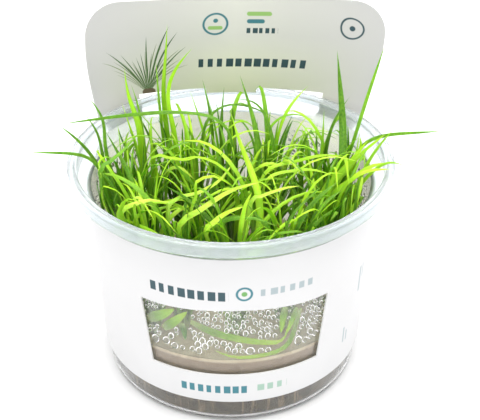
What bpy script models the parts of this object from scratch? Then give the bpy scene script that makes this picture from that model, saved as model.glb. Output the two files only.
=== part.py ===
"""A clear culture cup in a card sleeve, with plantlets of creeping rush growing out of nutrient gel.

Lengths are in millimetres and become metres where a mesh is made. +Z is up. The window in the sleeve faces -Y
and the header of the sleeve stands at +Y. The origin is the centre of the cup's flat base.
"""

import math
import random

import bmesh
import bpy
import numpy as np
from mathutils import Vector

MM = 0.001
SHARP_ANGLE = 35.0

# Cup
CUP_HEIGHT = 72.0
CUP_SIDES = 60
BASE_RADIUS = 40.8
BASE_CORNER = 3.0
WALL = 0.8
WALL_TOP_Z = 64.6
WALL_TOP_RADIUS = 44.2
SEAT_RADIUS = 48.2
SEAT_Z = 65.8
RIM_RADIUS = 50.5
RIM_DROP = 3.8
RIM_WALL = 0.9

# Nutrient gel
GAP = 0.3
GEL_TOP_Z = 24.4
GEL_EDGE_RISE = 0.6
GEL_EDGE_WIDTH = 1.5
GEL_SIDES = 48

# Card sleeve and its header
CARD_THICKNESS = 0.5
CARD_GAP = 0.45
CARD_RADIUS = 45.0
SLEEVE_BOTTOM_Z = 9.3
SLEEVE_TOP_Z = 64.2
WINDOW_LOW_Z = 20.3
WINDOW_HIGH_Z = 44.2
WINDOW_HALF_ANGLE = 39.2
WINDOW_LOW_SHARE = 0.92
WINDOW_TURN = 1.25
WINDOW_TURN_FADE = 65
WINDOW_BOW = 1.3
FLARE_LOW_Z = 48.0
FLARE_HIGH_Z = 67.5
FLARE_LEVELS = (52.0, 58.0)
STRAP_RADIUS = 51.0
STRAP_INNER = 31.0
STRAP_OUTER = 46.5
STRAP_INNER_FADE = 22.0
STRAP_OUTER_FADE = 62.0
SLOT_TOP_Z = 72.9
TONGUE_LOW_Z = 70.9
TONGUE_HALF_WIDTH = 8.5
HEADER_HALF_WIDTH = 49.2
HEADER_WIDEST_Z = 92.0
HEADER_LEVELS = (79.0, 87.0)
HEADER_TOP_Z = 106.5
HEADER_CORNER = 11.5
HEADER_TOP_RADIUS = 300.0
HEADER_UNROLL = 0.3
HEADER_LEAN = 2.0
HEADER_COLUMNS = (4.25, TONGUE_HALF_WIDTH, 16.0, 23.5, STRAP_INNER, 36.5, 41.5, STRAP_OUTER)
SIDE_COLUMNS = 9
WINDOW_COLUMNS = 5

# Plantlets
CROWN_RADIUS = 2.2
CROWN_FOOT_RADIUS = 1.54
CROWN_SHOULDER = 1.8
CROWN_HEIGHT = 3.0
CROWN_Z = GEL_TOP_Z + GAP
CROWN_REACH = 9.0
LEAF_THICKNESS = 0.62
LEAF_KEEL = 0.6
LEAF_FOOT_SHARE = 0.75
LEAF_TIP_SHARE = 0.25
LEAF_FULL_FROM = 0.2
LEAF_NARROW_FROM = 0.45
LEAF_TIP_HALF_WIDTH = 0.1
LEAF_CLEARANCE = 0.3
LEAF_START = 1.3
LEAF_START_HEIGHT = 2.4
SHEATH_HEIGHT = 12.0
SHEATH_SPREAD = 3.8
LEAST_TURN = 50.0
SPREAD_ROUNDS = 20
CURVE_STEPS = 60

# Plainer leaves that fill up the cup, drawn at random between these limits
FILL_LEAVES = 7
FILL_TRIES = 40
FILL_TURN = 1.6
FILL_RISE = (26.0, 50.0)
FILL_REACH = (3.0, 22.0)
FILL_BEND_SHARE = 0.35
FILL_BEND_HEIGHT = (0.55, 0.72)
FILL_WIDTH = (1.0, 1.7)
FILL_STEPS = 4
FILL_RISE_TO_BACK = 0.1
SEED = 7

# Where each plantlet stands, as (x, y), and its longest leaves: a width, then points on the leaf's way
PLANTLETS = (
    ((0, 3), (
        (1.3, (1, 8, 74), (-4, 11, 81), (-24, 12, 81), (-54, 12, 77)),
        (1.0, (-4, 12, 70), (-7, 20, 82)),
        (1.5, (2, -6, 64), (-5, -14, 67), (-14, -19, 64)),
    )),
    ((11, 11), (
        (1.9, (9, 9, 70), (6, 18, 81), (3, 24, 88)),
        (1.3, (14, 8, 71), (11, 11, 79), (8, 14, 85), (1, 15, 84)),
    )),
    ((-11, 11), (
        (1.7, (-9, 18, 74), (-2, 21, 80), (7, 20, 79), (15, 18, 75)),
        (1.1, (-11, 10, 70), (-14, 7, 80)),
    )),
    ((9, -9), (
        (1.5, (9, 0, 66), (20, 1, 69), (28, 1, 72), (36, -1, 72)),
        (1.5, (10, -5, 67), (20, -4, 69), (30, -5, 70), (33, -8, 68)),
        (1.4, (4, -14, 59), (-2, -21, 62), (-12, -24, 60)),
    )),
    ((-9, -9), (
        (1.5, (-10, -8, 64), (-16, -10, 73), (-19, -11, 78)),
        (1.4, (-12, -16, 62), (-22, -20, 68), (-31, -19, 66)),
    )),
    ((-2, 25), (
        (1.0, (-6, 22, 71), (-9, 27, 85)),
        (1.0, (-3, 20, 74), (-2, 24, 84)),
    )),
    ((13, 25), (
        (1.9, (15, 16, 72), (22, 23, 82), (25, 24, 84)),
        (0.8, (11, 14, 70), (15, 15, 78), (21, 16, 79), (27, 15, 76)),
    )),
    ((-16, 23), (
        (2.0, (-18, 18, 68), (-21, 22, 80), (-20, 25, 87), (-12, 27, 96)),
        (1.5, (-22, 28, 84), (-20, 31, 93), (-20, 33, 102)),
        (1.0, (-23, 26, 76), (-24, 31, 90)),
    )),
    ((-26, 13), (
        (2.0, (-29, 18, 73), (-33, 24, 80), (-34, 28, 89)),
        (1.2, (-29, 21, 78), (-32, 26, 84)),
        (1.2, (-40, 9, 68), (-38, 13, 75), (-45, 16, 85)),
    )),
    ((-32, 1), (
        (1.2, (-41, 4, 66), (-46, 5, 72), (-50, 8, 77), (-54, 10, 78)),
        (1.2, (-41, 11, 67), (-42, 15, 73), (-47, 18, 78)),
        (0.9, (-40, -2, 70), (-46, -2, 74), (-62, -4, 76)),
    )),
    ((-26, -13), (
        (1.8, (-29, -8, 64), (-34, 0, 72), (-39, 6, 78)),
        (1.7, (-33, -15, 60), (-36, -17, 66), (-33, -17, 71)),
    )),
    ((-15, -25), (
        (1.7, (-19, -27, 58), (-24, -28, 63), (-33, -25, 66)),
        (1.5, (-14, -22, 60), (-9, -19, 69), (-4, -17, 74)),
    )),
    ((1, -29), (
        (1.9, (9, -20, 62), (7, -12, 71), (3, -4, 78), (0, 4, 85)),
        (1.6, (-3, -26, 60), (-11, -21, 68), (-20, -14, 70)),
    )),
    ((16, -25), (
        (1.7, (22, -23, 58), (30, -18, 63), (34, -14, 63)),
        (1.6, (13, -27, 60), (8, -27, 66), (4, -25, 71)),
    )),
    ((27, -13), (
        (1.5, (33, -10, 60), (30, -12, 65), (23, -14, 66)),
        (2.0, (37, -8, 62), (44, -9, 73), (50, -10, 77), (53, -11, 74)),
        (1.3, (39, -3, 63), (42, 0, 69), (46, 3, 74), (51, 6, 78)),
    )),
    ((31, 2), (
        (2.3, (35, 5, 62), (36, 16, 73), (34, 27, 95)),
        (1.1, (40, 8, 70), (46, 7, 75), (54, 6, 76), (66, 4, 78)),
        (1.7, (37, 0, 61), (42, 4, 71), (43, 0, 68)),
    )),
    ((27, 14), (
        (1.3, (39, 12, 71), (44, 20, 84), (49, 25, 98)),
        (1.2, (29, 12, 68), (30, 20, 78)),
        (1.2, (31, 14, 72), (38, 20, 82)),
        (1.6, (22, 11, 69), (25, 13, 75), (29, 9, 68)),
    )),
    ((-34, 13), ()),
    ((35, 12), ()),
    ((-33, -12), ()),
    ((31, -19), ()),
    ((-24, -26), ()),
)


def blend(low, high, x):
    """0 below low, 1 above high and a smooth rise between them."""
    t = min(1.0, max(0.0, (x - low) / (high - low)))
    return t * t * (3 - 2 * t)


def material(name, colour, roughness, alpha=1.0, transmission=0.0):
    """A plain Principled finish."""
    made = bpy.data.materials.new(name)
    made.use_nodes = True
    shader = made.node_tree.nodes["Principled BSDF"]
    shader.inputs["Base Color"].default_value = (*colour, 1.0)
    shader.inputs["Roughness"].default_value = roughness
    shader.inputs["Metallic"].default_value = 0.0
    shader.inputs["Transmission Weight"].default_value = transmission
    shader.inputs["Alpha"].default_value = alpha
    made.diffuse_color = (*colour, alpha)
    return made


def add_object(name, bm, finish):
    """The bmesh, in millimetres, as an object of its own in metres."""
    bmesh.ops.scale(bm, vec=(MM, MM, MM), verts=bm.verts)
    mesh = bpy.data.meshes.new(name)
    bm.to_mesh(mesh)
    bm.free()
    mesh.shade_smooth()
    mesh.set_sharp_from_angle(angle=math.radians(SHARP_ANGLE))
    mesh.materials.append(finish)
    made = bpy.data.objects.new(name, mesh)
    bpy.context.scene.collection.objects.link(made)
    return made


def turned(profile, sides):
    """A closed body turned round Z from a profile of (radius, z) that starts and ends on the axis."""
    bm = bmesh.new()
    points = [bm.verts.new((radius, 0, z)) for radius, z in profile]
    edges = [bm.edges.new(pair) for pair in zip(points, points[1:])]
    bmesh.ops.spin(bm, geom=points + edges, axis=(0, 0, 1), steps=sides, angle=math.tau)
    bmesh.ops.remove_doubles(bm, verts=bm.verts, dist=1e-4)
    bmesh.ops.recalc_face_normals(bm, faces=bm.faces)
    return bm


def wall_radius(z):
    """The outer radius of the cup's tapered wall."""
    return BASE_RADIUS + (WALL_TOP_RADIUS - BASE_RADIUS) * z / WALL_TOP_Z


def arc(radius, z, corner, start, end, steps):
    """Points round (radius, z), from one angle to another in degrees."""
    turns = [math.radians(start + (end - start) * i / steps) for i in range(steps + 1)]
    return [(radius + corner * math.cos(a), z + corner * math.sin(a)) for a in turns]


def make_cup(finish):
    """A tapered tub: flat base, thin wall, a step out to the lid's seat and a rim that turns down outside."""
    outside = arc(wall_radius(BASE_CORNER) - BASE_CORNER, BASE_CORNER, BASE_CORNER, -90, 0, 3)
    step = [(WALL_TOP_RADIUS, WALL_TOP_Z), (SEAT_RADIUS, SEAT_Z), (SEAT_RADIUS, CUP_HEIGHT - RIM_WALL)]
    rim = [
        (RIM_RADIUS - RIM_WALL, CUP_HEIGHT - RIM_WALL),
        (RIM_RADIUS - RIM_WALL, CUP_HEIGHT - RIM_DROP),
        (RIM_RADIUS, CUP_HEIGHT - RIM_DROP),
        (RIM_RADIUS, CUP_HEIGHT - RIM_WALL / 2),
        (RIM_RADIUS - RIM_WALL / 2, CUP_HEIGHT),
        (SEAT_RADIUS - WALL, CUP_HEIGHT),
    ]
    inside = [
        (SEAT_RADIUS - WALL, SEAT_Z + WALL),
        (WALL_TOP_RADIUS - WALL, WALL_TOP_Z + WALL),
    ]
    inner_corner = BASE_CORNER - WALL
    floor = arc(wall_radius(BASE_CORNER) - BASE_CORNER, BASE_CORNER, inner_corner, 0, -90, 3)
    profile = [(0, 0), *outside, *step, *rim, *inside, *floor, (0, WALL)]
    return add_object("cup", turned(profile, CUP_SIDES), finish)


def make_gel(finish):
    """The clear brown jelly that fills the foot of the cup, with its top drawn up a little at the wall."""
    shrink = WALL + GAP
    corner = BASE_CORNER - shrink
    foot = arc(wall_radius(BASE_CORNER) - BASE_CORNER, BASE_CORNER, corner, -90, 0, 3)
    top = GEL_TOP_Z + GEL_EDGE_RISE
    edge = wall_radius(top) - shrink
    profile = [(0, shrink), *foot, (edge, top), (edge - GEL_EDGE_WIDTH, GEL_TOP_Z), (0, GEL_TOP_Z)]
    return add_object("nutrient_gel", turned(profile, GEL_SIDES), finish)


def strap_share(along):
    """How much a place in the sleeve flares out: fully on the two straps that carry the header."""
    rise = blend(STRAP_INNER_FADE, STRAP_INNER, along)
    fall = blend(STRAP_OUTER, STRAP_OUTER_FADE, along)
    return rise * (1 - fall)


def on_sleeve(along, z):
    """A point of the card's inner face, along mm round from the middle of the back, at height z."""
    share = strap_share(abs(along)) * blend(FLARE_LOW_Z, FLARE_HIGH_Z, z)
    radius = wall_radius(z) + CARD_GAP
    radius += share * (STRAP_RADIUS - radius)
    turn = along / CARD_RADIUS * (1 - share) + along / STRAP_RADIUS * share
    return Vector((radius * math.sin(turn), radius * math.cos(turn), z))


def header_radius(z):
    """The header unrolls from the curve of the rim at its foot to nearly flat at its top."""
    t = min(1.0, max(0.0, (z - SLEEVE_TOP_Z) / (HEADER_TOP_Z - SLEEVE_TOP_Z)))
    bend = 1 / STRAP_RADIUS + (1 / HEADER_TOP_RADIUS - 1 / STRAP_RADIUS) * t**HEADER_UNROLL
    return 1 / bend


def on_header(across, z):
    """A point of the card's inner face above the sleeve. The straps' inner edges meet the rim's outside."""
    radius = header_radius(z)
    strap_turn = STRAP_INNER / radius
    strap_x = radius * math.sin(strap_turn)
    strap_y = math.sqrt(STRAP_RADIUS**2 - strap_x**2)
    turn = across / radius
    y = strap_y + radius * (math.cos(turn) - math.cos(strap_turn))
    lean = HEADER_LEAN * blend(SLEEVE_TOP_Z, HEADER_TOP_Z, z)
    return Vector((radius * math.sin(turn) + lean, y, z))


def header_rows():
    """(z, half width) of each row of the header above the sleeve, with round top corners."""
    low = [FLARE_HIGH_Z, TONGUE_LOW_Z, SLOT_TOP_Z, *HEADER_LEVELS]
    widening = HEADER_HALF_WIDTH - STRAP_OUTER
    rows = [(z, STRAP_OUTER + widening * blend(SLEEVE_TOP_Z, HEADER_WIDEST_Z, z)) for z in low]
    corner_z = HEADER_TOP_Z - HEADER_CORNER
    corner_x = HEADER_HALF_WIDTH - HEADER_CORNER
    rows += [(z, x) for x, z in arc(corner_x, corner_z, HEADER_CORNER, 0, 90, 4)]
    return rows


def sleeve_columns():
    """Places round the card, in mm from the middle of its back, with one at each edge of window and strap."""
    window = math.radians(180 - WINDOW_HALF_ANGLE) * CARD_RADIUS
    half = math.pi * CARD_RADIUS
    side_step = (window - STRAP_OUTER) / SIDE_COLUMNS
    front_step = (half - window) / WINDOW_COLUMNS
    right = [0.0, *HEADER_COLUMNS]
    right += [STRAP_OUTER + side_step * (i + 1) for i in range(SIDE_COLUMNS)]
    right += [window + front_step * (i + 1) for i in range(WINDOW_COLUMNS)]
    return [-along for along in right[-2:0:-1]] + right


def in_window(along, z):
    """Whether a place in the card lies in the hole cut out of its front."""
    window = math.radians(180 - WINDOW_HALF_ANGLE) * CARD_RADIUS
    return abs(along) > window and WINDOW_LOW_Z < z < WINDOW_HIGH_Z


def bow(along, z):
    """The top edge of the window rises a little towards its middle."""
    if z != WINDOW_HIGH_Z:
        return 0.0
    front = math.pi - abs(along) / CARD_RADIUS
    return WINDOW_BOW * (1 - blend(0, math.radians(WINDOW_HALF_ANGLE), front))


def lean_in(along, z):
    """The window is narrower at its foot than at its top, and it's turned a little round the cup."""
    front = math.pi - abs(along) / CARD_RADIUS
    edge = math.radians(WINDOW_HALF_ANGLE)
    low = 1 - blend(WINDOW_LOW_Z, WINDOW_HIGH_Z, z)
    narrowing = min(front, edge) * (1 - WINDOW_LOW_SHARE) * low
    side = 1 if along >= 0 else -1
    fade = 1 - blend(edge, math.radians(WINDOW_TURN_FADE), front)
    return along + (side * narrowing - math.radians(WINDOW_TURN)) * fade * CARD_RADIUS


def in_slot(across, z):
    """The cut-out that the back of the rim stands in, with a short tongue hanging in its middle."""
    if z > SLOT_TOP_Z or abs(across) > STRAP_INNER:
        return False
    return z < TONGUE_LOW_Z or abs(across) > TONGUE_HALF_WIDTH


def add_band(bm, columns):
    """The faces round the cup, all but those in the window. Returns the vertices of the top row."""
    levels = [SLEEVE_BOTTOM_Z, WINDOW_LOW_Z, WINDOW_HIGH_Z, *FLARE_LEVELS, SLEEVE_TOP_Z]
    places = [[on_sleeve(lean_in(along, z), z + bow(along, z)) for along in columns] for z in levels]
    band = [[bm.verts.new(place) for place in row] for row in places]
    for low, high, z0, z1 in zip(band, band[1:], levels, levels[1:]):
        for i, along in enumerate(columns):
            after = (i + 1) % len(columns)
            step = (columns[after] - along) % (math.tau * CARD_RADIUS)
            if not in_window(along + step / 2, (z0 + z1) / 2):
                bm.faces.new((low[after], low[i], high[i], high[after]))
    return band[-1]


def add_header(bm, below):
    """The faces above the sleeve, all but those in the slot, upward from the row of vertices below them."""
    across = [-x for x in reversed(HEADER_COLUMNS)] + [0.0, *HEADER_COLUMNS]
    z0 = SLEEVE_TOP_Z
    for z1, width in header_rows():
        scale = width / STRAP_OUTER
        above = [bm.verts.new(on_header(x * scale, z1)) for x in across]
        for i, (left, right) in enumerate(zip(across, across[1:])):
            if not in_slot((left + right) / 2, (z0 + z1) / 2):
                bm.faces.new((below[i + 1], below[i], above[i], above[i + 1]))
        below, z0 = above, z1


def make_sleeve(finish):
    """One card: a band round the cup with a window in front, and a header that rises behind the rim."""
    bm = bmesh.new()
    columns = sleeve_columns()
    top_row = add_band(bm, columns)
    first = columns.index(-STRAP_OUTER)
    last = columns.index(STRAP_OUTER)
    add_header(bm, top_row[first : last + 1])
    loose = [vert for vert in bm.verts if not vert.link_faces]
    bmesh.ops.delete(bm, geom=loose, context="VERTS")
    made = add_object("card_sleeve", bm, finish)
    thick = made.modifiers.new("thickness", "SOLIDIFY")
    thick.thickness = CARD_THICKNESS * MM
    thick.offset = 1.0
    return made


def smooth_path(knots, steps):
    """Evenly numbered points on a Catmull-Rom curve through the knots."""
    ends = [knots[0] * 2 - knots[1], *knots, knots[-1] * 2 - knots[-2]]
    path = []
    for i in range(steps + 1):
        place = i / steps * (len(knots) - 1)
        part = min(int(place), len(knots) - 2)
        t = place - part
        a, b, c, d = ends[part : part + 4]
        point = b * 2 + (c - a) * t + (a * 2 - b * 5 + c * 4 - d) * t**2 + (b * 3 - a - c * 3 + d) * t**3
        path.append(point / 2)
    return path


def even_path(knots, count):
    """count + 1 points at equal distances along the smooth curve through the knots."""
    fine = smooth_path(knots, CURVE_STEPS)
    lengths = [(b - a).length for a, b in zip(fine, fine[1:])]
    total = sum(lengths)
    points, gone, i = [fine[0]], 0.0, 0
    for j in range(1, count):
        while gone + lengths[i] < total * j / count:
            gone += lengths[i]
            i += 1
        points.append(fine[i].lerp(fine[i + 1], (total * j / count - gone) / lengths[i]))
    return [*points, fine[-1]]


def leaf_width(width, t):
    """A rush leaf widens a little from its foot and narrows to a point over its outer half."""
    foot = LEAF_FOOT_SHARE + (1 - LEAF_FOOT_SHARE) * blend(0, LEAF_FULL_FROM, t)
    tip = 1 - (1 - LEAF_TIP_SHARE) * blend(LEAF_NARROW_FROM, 1, t)
    return width * foot * tip


def grow_leaf(bm, socket, path, width):
    """Draws one three-sided face of the crown out along the path, to a point."""
    side = Vector((-path[-1].y + path[0].y, path[-1].x - path[0].x, 0)).normalized()
    for i in range(1, len(path) - 1):
        along = (path[i + 1] - path[i - 1]).normalized()
        side = (side - along * side.dot(along)).normalized()
        inner = along.cross(side)
        half = leaf_width(width, i / (len(path) - 1)) / 2
        keel = path[i] + inner * LEAF_THICKNESS * LEAF_KEEL
        edge = path[i] - inner * LEAF_THICKNESS * (1 - LEAF_KEEL)
        socket = bmesh.ops.extrude_discrete_faces(bm, faces=[socket])["faces"][0]
        for vert, place in zip(socket.verts, (keel, edge - side * half, edge + side * half)):
            vert.co = place
    bmesh.ops.poke(bm, faces=[socket])["verts"][0].co = path[-1]


def make_plantlet(name, crown, slots, leaves, finish):
    """A short crown with a ring of sockets, some of them drawn out into a leaf."""
    bm = bmesh.new()
    centre = Vector((*crown, CROWN_Z))
    half_slot = math.pi / len(slots)
    ring = [outward(slot - half_slot) for slot in slots]
    shoulder = Vector((0, 0, CROWN_SHOULDER))
    foot = [bm.verts.new(centre + away * CROWN_FOOT_RADIUS) for away in ring]
    brim = [bm.verts.new(centre + away * CROWN_RADIUS + shoulder) for away in ring]
    apex = bm.verts.new(centre + Vector((0, 0, CROWN_HEIGHT)))
    bm.faces.new(reversed(foot))
    sockets = {}
    for i, slot in enumerate(slots):
        after = (i + 1) % len(slots)
        bm.faces.new((foot[i], foot[after], brim[after], brim[i]))
        sockets[slot] = bm.faces.new((apex, brim[i], brim[after]))
    for path, width, slot in leaves:
        grow_leaf(bm, sockets[slot], path, width)
    return add_object(name, bm, finish)


def outward(turn):
    """The level direction at this turn from +X, in radians."""
    return Vector((math.cos(turn), math.sin(turn), 0))


def spread_turns(turns):
    """The directions of several leaves of one crown, moved apart where they are closer than LEAST_TURN."""
    least = math.radians(LEAST_TURN)
    order = sorted(range(len(turns)), key=lambda i: turns[i])
    for _ in range(SPREAD_ROUNDS):
        for before, after in zip(order, order[1:]):
            short = least - (turns[after] - turns[before])
            if short > 0:
                turns[before] -= short / 2
                turns[after] += short / 2
    return turns


def leaf_foot(crown, slot):
    """The first two points of a leaf: on the crown's shoulder, and where the leaf leaves its sheath."""
    centre = Vector((*crown, CROWN_Z))
    low = centre + outward(slot) * LEAF_START + Vector((0, 0, LEAF_START_HEIGHT))
    return [low, centre + outward(slot) * SHEATH_SPREAD + Vector((0, 0, SHEATH_HEIGHT))]


def leaf_slots(rows, turns):
    """Evenly spread directions for the sockets of one crown, the first in line with its first long leaf."""
    count = len(rows) + FILL_LEAVES
    first = turns[0] if turns else 0.0
    return [first + math.tau * i / count for i in range(count)]


def long_leaves(crown, rows):
    """The slots of one crown, and (path, width, slot) of each leaf that PLANTLETS gives to it."""
    turns = spread_turns([math.atan2(first[1] - crown[1], first[0] - crown[0]) for _, first, *_ in rows])
    slots = leaf_slots(rows, turns)
    leaves = []
    for (width, *through), turn in zip(rows, turns):
        slot = slots[round((turn - slots[0]) / math.tau * len(slots)) % len(slots)]
        knots = leaf_foot(crown, slot) + [Vector(point) for point in through]
        leaves.append((even_path(knots, FILL_STEPS + len(through)), width, slot))
    return slots, leaves


def fill_leaf(crown, slot, draw):
    """A plainer leaf that leans out of its crown, turning a little on its way."""
    turn = slot + draw.uniform(-FILL_TURN, FILL_TURN)
    rise = draw.uniform(*FILL_RISE) + FILL_RISE_TO_BACK * crown[1]
    reach = draw.uniform(*FILL_REACH)
    bend_z = rise * draw.uniform(*FILL_BEND_HEIGHT)
    centre = Vector((*crown, CROWN_Z))
    sheath = centre + outward(slot) * SHEATH_SPREAD
    bend = sheath + outward(turn) * reach * FILL_BEND_SHARE + Vector((0, 0, bend_z))
    tip = sheath + outward(turn) * reach + Vector((0, 0, rise))
    knots = [*leaf_foot(crown, slot), bend, tip]
    return even_path(knots, FILL_STEPS), draw.uniform(*FILL_WIDTH), slot


def samples(leaf):
    """Points about a millimetre apart along a leaf, with its half width at each, as an (n, 4) array."""
    path, width, _ = leaf
    rows = []
    for i, (a, b) in enumerate(zip(path, path[1:])):
        count = max(1, round((b - a).length))
        for j in range(count):
            t = (i + j / count) / (len(path) - 1)
            rows.append((*a.lerp(b, j / count), leaf_width(width, t) / 2))
    rows.append((*path[-1], LEAF_TIP_HALF_WIDTH))
    return np.array(rows)


def in_vessel(points):
    """Whether every sample keeps clear of the cup, the gel and the card."""
    for x, y, z, half in points:
        radius = math.hypot(x, y) + half + LEAF_CLEARANCE
        past_rim = radius > SEAT_RADIUS - WALL
        if z < CROWN_Z or (past_rim and z - half < CUP_HEIGHT + LEAF_CLEARANCE):
            return False
        if z < SEAT_Z + WALL + LEAF_CLEARANCE and radius > wall_radius(z) - WALL:
            return False
        header_y = on_header(x, z).y - 2 * CARD_GAP
        if z > SLEEVE_TOP_Z and abs(x) < HEADER_HALF_WIDTH and y + half > header_y:
            return False
    return True


def overlap(points, crown, other, other_crown):
    """How far two leaves come into each other, in mm. Leaves of one crown may meet close to it."""
    gaps = np.linalg.norm(points[:, None, :3] - other[None, :, :3], axis=2)
    gaps -= points[:, None, 3] + other[None, :, 3] + LEAF_CLEARANCE
    if other_crown == crown:
        near = np.linalg.norm(points[:, :3] - np.array([*crown, CROWN_Z]), axis=1) < CROWN_REACH
        gaps[near] = LEAF_CLEARANCE
    return -gaps.min()


def room_for(leaf, crown, taken):
    """Whether a leaf stays in the cup and clear of every leaf so far."""
    points = samples(leaf)
    return in_vessel(points) and all(overlap(points, crown, *other) < 0 for other in taken)


def all_leaves():
    """Each crown's slots and leaves: every long one first, then plainer ones wherever there is room."""
    draw = random.Random(SEED)
    plants = {crown: long_leaves(crown, rows) for crown, rows in PLANTLETS}
    taken = [(samples(leaf), crown) for crown, (_, leaves) in plants.items() for leaf in leaves]
    for place in range(max(len(slots) for slots, _ in plants.values())):
        for crown, (slots, leaves) in plants.items():
            if place >= len(slots) or any(slots[place] == slot for _, _, slot in leaves):
                continue
            for _ in range(FILL_TRIES):
                leaf = fill_leaf(crown, slots[place], draw)
                if room_for(leaf, crown, taken):
                    leaves.append(leaf)
                    taken.append((samples(leaf), crown))
                    break
    return plants


def clear_scene():
    """Removes whatever the file holds at the start."""
    for old in list(bpy.data.objects):
        bpy.data.objects.remove(old, do_unlink=True)


def main():
    """Makes the cup, the gel, the card and every plantlet."""
    clear_scene()
    plastic = material("clear plastic", (0.86, 0.9, 0.9), 0.08, alpha=0.4, transmission=0.9)
    gel = material("nutrient gel", (0.36, 0.3, 0.2), 0.15, alpha=0.8, transmission=0.5)
    card = material("white card", (0.9, 0.9, 0.88), 0.45)
    make_cup(plastic)
    make_gel(gel)
    make_sleeve(card)
    leaf = material("rush leaf", (0.22, 0.5, 0.06), 0.45)
    for i, (crown, (slots, leaves)) in enumerate(all_leaves().items()):
        make_plantlet(f"rush_plantlet_{i + 1:02d}", crown, slots, leaves, leaf)


main()
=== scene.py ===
# %% [markdown]
# # A culture cup of creeping rush
#
# The object is a clear plastic cup in a white card sleeve. A layer of nutrient gel fills its foot, and a
# dense tuft of creeping rush grows out of the gel. The solids of the cup, the card, the gel and the
# plantlets are loaded first. They give every place and size, and new pieces take their places.

# %% Load the solids
import math
import random

import bmesh
import bpy
import numpy as np
from mathutils import Matrix, Vector


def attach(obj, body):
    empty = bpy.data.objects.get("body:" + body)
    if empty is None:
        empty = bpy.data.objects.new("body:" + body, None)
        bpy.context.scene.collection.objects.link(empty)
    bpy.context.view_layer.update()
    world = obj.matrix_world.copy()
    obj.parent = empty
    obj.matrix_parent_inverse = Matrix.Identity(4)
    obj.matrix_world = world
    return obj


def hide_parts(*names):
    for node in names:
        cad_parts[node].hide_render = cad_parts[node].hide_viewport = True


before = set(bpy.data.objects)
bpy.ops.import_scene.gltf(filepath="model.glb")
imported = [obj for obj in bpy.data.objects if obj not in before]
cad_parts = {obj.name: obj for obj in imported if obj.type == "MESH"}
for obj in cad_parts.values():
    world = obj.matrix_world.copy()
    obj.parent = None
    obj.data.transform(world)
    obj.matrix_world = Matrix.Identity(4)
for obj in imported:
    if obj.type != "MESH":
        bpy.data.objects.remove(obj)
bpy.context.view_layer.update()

MM = 0.001
PLANTLETS = sorted(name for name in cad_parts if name.startswith("rush_plantlet"))
print("solids:", len(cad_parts), "plantlets:", len(PLANTLETS))


# %% [markdown]
# ## Helpers for modelling
#
# An operator acts on everything that is selected, and the solids are selected once they are loaded. So each
# piece begins with nothing selected. A finished piece has its origin at the world's centre, so that patterns
# in object space lie still.

# %% Begin and finish a piece
def leave():
    """Goes back to object mode."""
    bpy.ops.object.mode_set(mode="OBJECT")


def begin():
    """Leaves edit mode and selects nothing."""
    if bpy.context.object and bpy.context.object.mode != "OBJECT":
        leave()
    bpy.ops.object.select_all(action="DESELECT")


def edit(select="SELECT"):
    """Goes into edit mode with everything selected, or nothing."""
    bpy.ops.object.mode_set(mode="EDIT")
    bpy.ops.mesh.select_all(action=select)


def face_outwards():
    """Turns every face of the active object outwards."""
    edit()
    bpy.ops.mesh.normals_make_consistent(inside=False)
    leave()


def new_object(name, data):
    """A new object in the scene."""
    made = bpy.data.objects.new(name, data)
    bpy.context.scene.collection.objects.link(made)
    return made


def activate(piece):
    """Selects one object alone and makes it the active one."""
    begin()
    piece.select_set(True)
    bpy.context.view_layer.objects.active = piece
    return piece


def finish_piece(name, finishes, smooth_angle):
    """Names the active object, applies its place and gives it its finishes."""
    leave()
    piece = bpy.context.object
    piece.name = name
    bpy.ops.object.transform_apply(location=True, rotation=True, scale=True)
    bpy.ops.object.shade_smooth_by_angle(angle=math.radians(smooth_angle))
    piece.data.materials.clear()
    for finish in finishes:
        piece.data.materials.append(finish)
    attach(piece, "root")
    print(name, len(piece.data.polygons), "faces")
    return piece


def apply_modifier(piece, name, kind, **settings):
    """Adds a modifier, sets it and applies it."""
    modifier = piece.modifiers.new(name, kind)
    for key, value in settings.items():
        setattr(modifier, key, value)
    bpy.context.view_layer.objects.active = piece
    bpy.ops.object.modifier_apply(modifier=name)


# %% Patterns and their copies
def take_pattern():
    """The points and faces of the active object, which is removed. Its copies are laid later."""
    pattern = bpy.context.object
    points = np.array([vert.co for vert in pattern.data.vertices])
    faces = [tuple(face.vertices) for face in pattern.data.polygons]
    bpy.data.objects.remove(pattern)
    return points, faces


def mesh_of_copies(name, copies, faces):
    """An active object from the points, in millimetres, of copies that share these faces."""
    mesh = bpy.data.meshes.new(name)
    points = [tuple(point * MM) for copy in copies for point in copy]
    starts = range(0, len(points), len(copies[0]))
    mesh.from_pydata(points, [], [[start + k for k in face] for start in starts for face in faces])
    return activate(new_object(name, mesh))


def straight(low, high, x):
    """0 below low, 1 above high and a straight rise between them."""
    return min(1.0, max(0.0, (x - low) / (high - low)))


def blend(low, high, x):
    """0 below low, 1 above high and a smooth rise between them."""
    t = straight(low, high, x)
    return t * t * (3 - 2 * t)


# %% [markdown]
# ## Helpers for materials
#
# Every finish is a small tree of nodes. One helper adds a node and joins its inputs, so that a finish reads
# from the pattern at the top to the shader at the bottom. What is the same all over a surface is set on the
# shader itself.

# %% Add nodes in one line
def plug(tree, made, **inputs):
    """Sets or joins a node's inputs. Underscores stand for spaces, and i2 for number 2."""
    for key, value in inputs.items():
        by_number = key[0] == "i" and key[1:].isdigit()
        socket = made.inputs[int(key[1:]) if by_number else key.replace("_", " ")]
        if isinstance(value, bpy.types.NodeSocket):
            tree.links.new(value, socket)
        else:
            socket.default_value = value


def node(tree, kind, settings=None, output=0, **inputs):
    """Adds a node and gives one of its outputs."""
    made = tree.nodes.new(kind)
    for key, value in (settings or {}).items():
        setattr(made, key, value)
    plug(tree, made, **inputs)
    return made.outputs[output]


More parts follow.
